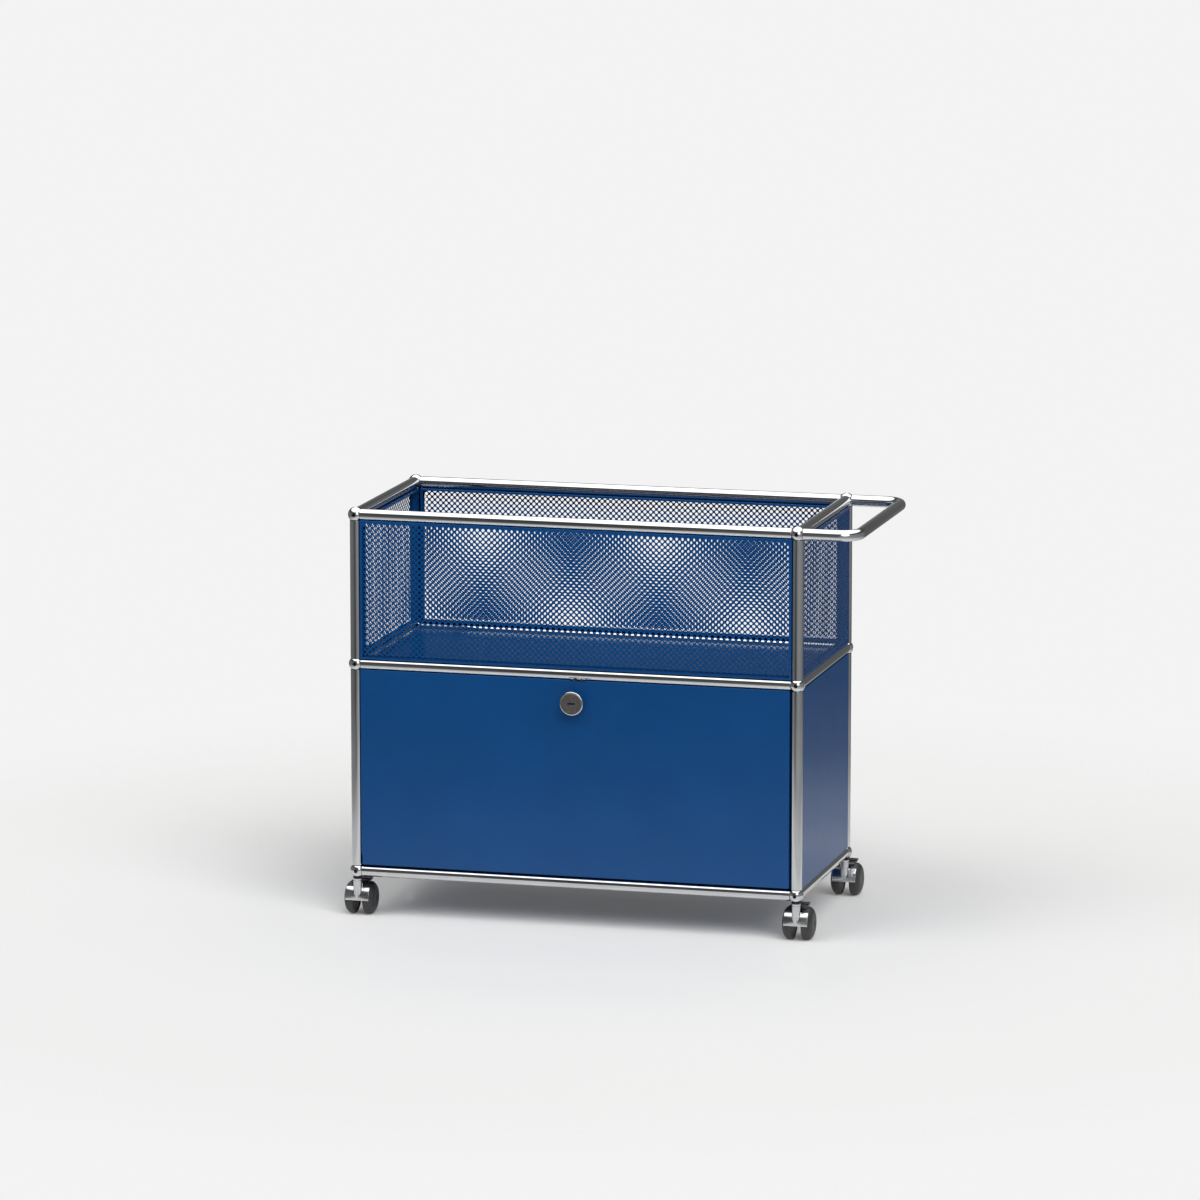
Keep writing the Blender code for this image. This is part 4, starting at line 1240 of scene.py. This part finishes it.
class TROLLEY_OT_caster_housings(bpy.types.Operator):
    """Add the casters' plated housings, with stem, fender, web and axle, and their washers"""

    bl_idname = "trolley.caster_housings"
    bl_label = "Caster housings"

    def execute(self, context):
        sizes = context.scene.trolley_sizes
        _, axle = caster_axle("front", "left")
        ball = sizes.ball_diameter / 2
        seat = RAIL_Z["bottom"] - sqrt(ball**2 - STEM_MOUTH**2) - CHAMFER
        low = seat - WASHER_HEIGHT
        profile = [(radius, low - depth) for radius, depth in STEM_OUTLINE]
        profile += [(radius, axle.z + height) for radius, height in STEM_FOOT]
        housing = turned("caster_housing", profile, 48)
        inner = axle.z + FENDER_GAP
        fender = bent_sheet("fender", sizes.fender_width, inner, 0, sizes.fender_angle, 14, FENDER_SHEET)
        round_edges(fender, FENDER_EDGE, 3)
        turn_place(fender, Matrix.Translation(axle))
        outline = [*WEB_START, *((axle.y + y, z) for y, z in WEB_END), (0, WEB_TOP)]
        web = plate("web", [(y, axle.z + z) for y, z in outline], 0, WEB_SHEET)
        edge = AXLE_RADIUS - CHAMFER
        profile = [(0, -AXLE_REACH), (edge, -AXLE_REACH), (AXLE_RADIUS, CHAMFER - AXLE_REACH)]
        rod = turned("axle", profile + [(radius, -height) for radius, height in reversed(profile)], 24)
        turn_place(rod, Matrix.Translation(axle) @ ALONG_X)
        for tool in (web, rod, fender):
            combine(housing, tool, "UNION")
        soften(housing, 30)
        at_each_caster(housing, "housing_plated", housing_finish(), "chrome", "housing")

        edge, foot = WASHER_RADIUS - CHAMFER, low + WASHER_LIFT
        profile = [(WASHER_BORE, seat), (edge, seat), (WASHER_RADIUS, seat - CHAMFER)]
        profile += [(WASHER_RADIUS, low + CHAMFER), (edge, foot), (WASHER_BORE, foot), (WASHER_BORE, seat)]
        washer = soften(turned("washer", profile, 48), 30)
        at_each_caster(washer, "washer", lever_finish(), "lever_black", "housing")
        return {"FINISHED"}


class TROLLEY_OT_wheels(bpy.types.Operator):
    """Add the casters' eight wheels"""

    bl_idname = "trolley.wheels"
    bl_label = "Wheels"

    def execute(self, context):
        foot, axle = caster_axle("front", "left")
        radius = axle.z
        low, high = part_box("caster_front_left_wheel_right")
        face = high.x - foot.x
        inner = low.x - foot.x
        profile = [(hub, face - depth) for hub, depth in HUB_OUTLINE]
        for step in range(DOME_STEPS + 1):
            a = radians(90 * step / DOME_STEPS)
            profile.append((WHEEL_FLAT + (radius - WHEEL_FLAT) * sin(a), face - DOME_DEPTH * (1 - cos(a))))
            if step == GROOVE_STEP:
                r, z = profile[-1]
                profile += [(r + out, z - depth) for out, depth in GROOVE_OUTLINE]
        profile += [(radius - depth, inner + height) for depth, height in TREAD_OUTLINE]
        profile += [(r, inner + height) for r, height in INNER_OUTLINE]
        wheel = soften(turned("wheel", profile, 72), 32)
        for side, turn in (("left", AGAINST_X), ("right", ALONG_X)):
            part = f"wheel_{side}"
            model = duplicate(wheel, part, Matrix.Translation(axle) @ turn)
            at_each_caster(model, f"{part}_black", wheel_finish(), "wheel_black", part, f"_{part}")
        bpy.data.objects.remove(wheel)
        return {"FINISHED"}


class TROLLEY_OT_brakes(bpy.types.Operator):
    """Add the casters' brake pedals"""

    bl_idname = "trolley.brakes"
    bl_label = "Brake pedals"

    def execute(self, context):
        _, axle = caster_axle("front", "left")
        low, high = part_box("caster_front_left_brake")
        width = high.x - low.x
        inner = axle.z + HOOD_GAP
        hood = bent_sheet("hood", width, inner, HOOD_START, HOOD_ANGLE, 12, HOOD_SHEET)
        top, bottom = high.z - axle.z, axle.z + PEDAL_GAP
        pedal = box_between("pedal", (-width / 2, PEDAL_FRONT, bottom), (width / 2, PEDAL_BACK, top))
        pick("FACE", lambda face: face.normal.z > 0.9)
        bpy.ops.mesh.inset(thickness=PEDAL_RIM, depth=-PEDAL_SINK)
        tidy()
        turns = [-pi * step / CHEEK_STEPS for step in range(CHEEK_STEPS + 1)]
        outline = [(-CHEEK_EYE * cos(a), CHEEK_EYE * sin(a)) for a in turns]
        outline += [(CHEEK_HALF, inner + CHEEK_OVERLAP), (-CHEEK_HALF, inner + CHEEK_OVERLAP)]
        cheeks = [plate("cheek", outline, x, CHEEK_SHEET) for x in (-CHEEK_SPREAD, CHEEK_SPREAD)]
        for tool in (pedal, *cheeks):
            combine(hood, tool, "UNION")
        bore = plug("axle_bore", EYE_BORE, -EYE_BORE_REACH, EYE_BORE_REACH, 32)
        turn_place(bore, ALONG_X)
        combine(hood, bore, "DIFFERENCE")
        round_edges(hood, HOOD_EDGE)
        soften(hood, 32)
        turn_place(hood, Matrix.Translation(axle))
        at_each_caster(hood, "brake_black", lever_finish(), "lever_black", "brake", "_brake")
        return {"FINISHED"}


def towards(turn, rise):
    """A direction, by its turn from the front to the right and its rise."""
    return Vector((sin(turn) * cos(rise), -cos(turn) * cos(rise), sin(rise)))


def sun(name, azimuth, elevation, softness, strength):
    """A distant soft lamp. Azimuth runs from the front to the right."""
    light = bpy.data.lights.new(name, "SUN")
    light.angle = radians(softness)
    light.energy = strength
    holder = bpy.data.objects.new(name, light)
    bpy.context.scene.collection.objects.link(holder)
    turn, rise = radians(azimuth), radians(elevation)
    holder.location = (2 * sin(turn), -2 * cos(turn), 2 * sin(rise))
    holder.rotation_euler = towards(turn, rise).to_track_quat("Z", "Y").to_euler()
    holder.visible_glossy = False


def tent_material():
    """Glow of the reflection tent: pale floor near the object, dark horizon, bright ceiling.

    A soft glow by compass direction lies over the horizon, and a soft box stands at the front right.
    """
    finish = Finish("tent_glow")
    low, high = HEIGHT_BAND
    centred = finish.reckon("ShaderNodeVectorMath", "SUBTRACT", "Vector", finish.place, TENT_CENTRE)
    way = finish.reckon("ShaderNodeVectorMath", "NORMALIZE", "Vector", centred)
    apart = finish.add("ShaderNodeSeparateXYZ", Vector=way)
    rise = apart.outputs["Z"]
    height = finish.span(rise, 0, 1, low, high)
    levels = [((place - low) / (high - low), level) for place, level in HEIGHT_STOPS]
    by_height = finish.glow_ramp(height, levels, TENT_GLOW)
    band = [((place - low) / (high - low), level) for place, level in HORIZON_STOPS]
    over_horizon = finish.glow_ramp(height, band, 1.0)
    forward = finish.math("MULTIPLY", apart.outputs["Y"], -1)
    compass = finish.math("ARCTAN2", apart.outputs["X"], forward)
    heading = finish.span(compass, 0, 1, -pi, pi)
    sector = [((turn + 180) / 360, level) for turn, level in HEADING_STOPS]
    by_heading = finish.glow_ramp(heading, sector, TENT_GLOW)
    glow = finish.blend(1, by_height, finish.blend(1, over_horizon, by_heading, "MULTIPLY"), "ADD")
    box_way = towards(SOFT_BOX_TURN, SOFT_BOX_RISE)
    nearness = finish.reckon("ShaderNodeVectorMath", "DOT_PRODUCT", "Value", way, box_way)
    lit = finish.blend(finish.span(nearness, 0, 1, *SOFT_BOX_EDGE, smooth=True), glow, SOFT_BOX_COLOUR)
    light = finish.add("ShaderNodeEmission", Color=lit, Strength=TENT_GLOW)
    clear = finish.add("ShaderNodeBsdfTransparent")
    fade = finish.span(rise, 0, 1, *TENT_FADE)
    return finish.surface(finish.join(fade, clear.outputs["BSDF"], light.outputs["Emission"]))


def floor_material(colour):
    """Pale, slightly polished floor that fades out with distance."""
    finish = Finish("studio_floor")
    distance = finish.reckon("ShaderNodeVectorMath", "LENGTH", "Value", finish.place)
    edge = finish.span(distance, 0, 1, *FLOOR_FADE, smooth=True)
    clear = finish.add("ShaderNodeBsdfTransparent")
    clouds = finish.noise(3, 3)
    tone = finish.blend(finish.span(clouds, 0, 1), *(shade(colour, share) for share in FLOOR_SHARES))
    finish.connect(
        Base_Color=tone, Roughness=0.6, Specular_IOR_Level=0.0, Emission_Color=FLOOR_LIFT_COLOUR,
        Emission_Strength=finish.math("MULTIPLY", finish.shown(), FLOOR_LIFT),
    )
    polish = finish.add("ShaderNodeBsdfGlossy", Roughness=0.10)
    polished = finish.join(FLOOR_POLISH_SHARE, finish.shader.outputs["BSDF"], polish.outputs["BSDF"])
    return finish.surface(finish.join(edge, polished, clear.outputs["BSDF"]))


def studio_world(colour):
    """Soft ambient light, and the backdrop's colour wherever the camera looks."""
    world = bpy.data.worlds.new("studio_world")
    world.use_nodes = True
    nodes = Nodes(world.node_tree)
    ambient = world.node_tree.nodes["Background"]
    nodes.feed(ambient.inputs["Color"], (1, 1, 1, 1))
    nodes.feed(ambient.inputs["Strength"], AMBIENT)
    seen = nodes.add("ShaderNodeBackground", Color=(*colour, 1))
    both = nodes.join(nodes.shown(), ambient.outputs[0], seen.outputs[0])
    nodes.feed(world.node_tree.nodes["World Output"].inputs["Surface"], both)
    return world


def studio_camera():
    """The camera of the photo, placed from the middle of the trolley's lowest tubes."""
    back = towards(CAMERA_TURN, CAMERA_RISE)
    right = Vector((cos(CAMERA_TURN), sin(CAMERA_TURN), 0))
    up = back.cross(right)
    foot = Vector((MIDDLE_X, MIDDLE_Y, RAIL_Z["bottom"]))
    camera = bpy.data.cameras.new("camera")
    camera.sensor_width = SENSOR_WIDTH
    camera.lens = FOCAL_PIXELS * SENSOR_WIDTH / PHOTO_PIXELS
    camera.clip_end = CAMERA_FAR
    holder = bpy.data.objects.new("camera", camera)
    bpy.context.scene.collection.objects.link(holder)
    holder.location = foot + back * CAMERA_DISTANCE + right * CAMERA_RIGHT + up * CAMERA_UP
    holder.rotation_euler = Matrix((right, up, back)).transposed().to_euler()
    return holder


class TROLLEY_OT_studio(bpy.types.Operator):
    """Add the pale floor, soft light, reflection tent and camera"""

    bl_idname = "trolley.studio"
    bl_label = "Studio"

    def execute(self, context):
        scene = context.scene
        colour = tuple(scene.trolley_colours.floor)
        floor = begin(
            "floor", bpy.ops.mesh.primitive_circle_add, vertices=96, radius=FLOOR_RADIUS, fill_type="NGON"
        )
        bpy.ops.object.mode_set(mode="OBJECT")
        floor.data.materials.append(floor_material(colour))
        tent = turned("reflection_tent", TENT_OUTLINE, 64)
        tent.data.materials.append(tent_material())
        tent.visible_camera = False
        tent.visible_diffuse = False
        tent.visible_transmission = False
        tent.visible_shadow = False
        sun("left_lamp", -45, 45, 45, 0.98)
        sun("right_lamp", 38, 45, 45, 2.14)
        scene.world = studio_world(colour)
        scene.camera = studio_camera()
        scene.view_settings.view_transform = "Standard"
        return {"FINISHED"}


STEPS = (
    TROLLEY_OT_balls,
    TROLLEY_OT_tubes,
    TROLLEY_OT_handle,
    TROLLEY_OT_perforated_panels,
    TROLLEY_OT_plain_panels,
    TROLLEY_OT_door,
    TROLLEY_OT_lock,
    TROLLEY_OT_keeper,
    TROLLEY_OT_caster_housings,
    TROLLEY_OT_wheels,
    TROLLEY_OT_brakes,
    TROLLEY_OT_studio,
)


class TROLLEY_PT_sidebar(bpy.types.Panel):
    """Lists the trolley's sizes, colours and build steps"""

    bl_idname = "TROLLEY_PT_sidebar"
    bl_label = "Media Trolley"
    bl_space_type = "VIEW_3D"
    bl_region_type = "UI"
    bl_category = "Trolley"

    def draw(self, context):
        for group in (context.scene.trolley_sizes, context.scene.trolley_colours):
            box = self.layout.box()
            for name in group.__annotations__:
                box.prop(group, name)
        for step in STEPS:
            self.layout.operator(step.bl_idname)


CLASSES = (TrolleySizes, TrolleyColours, *STEPS, TROLLEY_PT_sidebar)


def register():
    for item in CLASSES:
        bpy.utils.register_class(item)
    bpy.types.Scene.trolley_sizes = bpy.props.PointerProperty(type=TrolleySizes)
    bpy.types.Scene.trolley_colours = bpy.props.PointerProperty(type=TrolleyColours)


def unregister():
    del bpy.types.Scene.trolley_colours
    del bpy.types.Scene.trolley_sizes
    for item in reversed(CLASSES):
        bpy.utils.unregister_class(item)


def main():
    register()
    for step in STEPS:
        group, name = step.bl_idname.split(".")
        getattr(getattr(bpy.ops, group), name)()


if __name__ == "__main__":
    main()
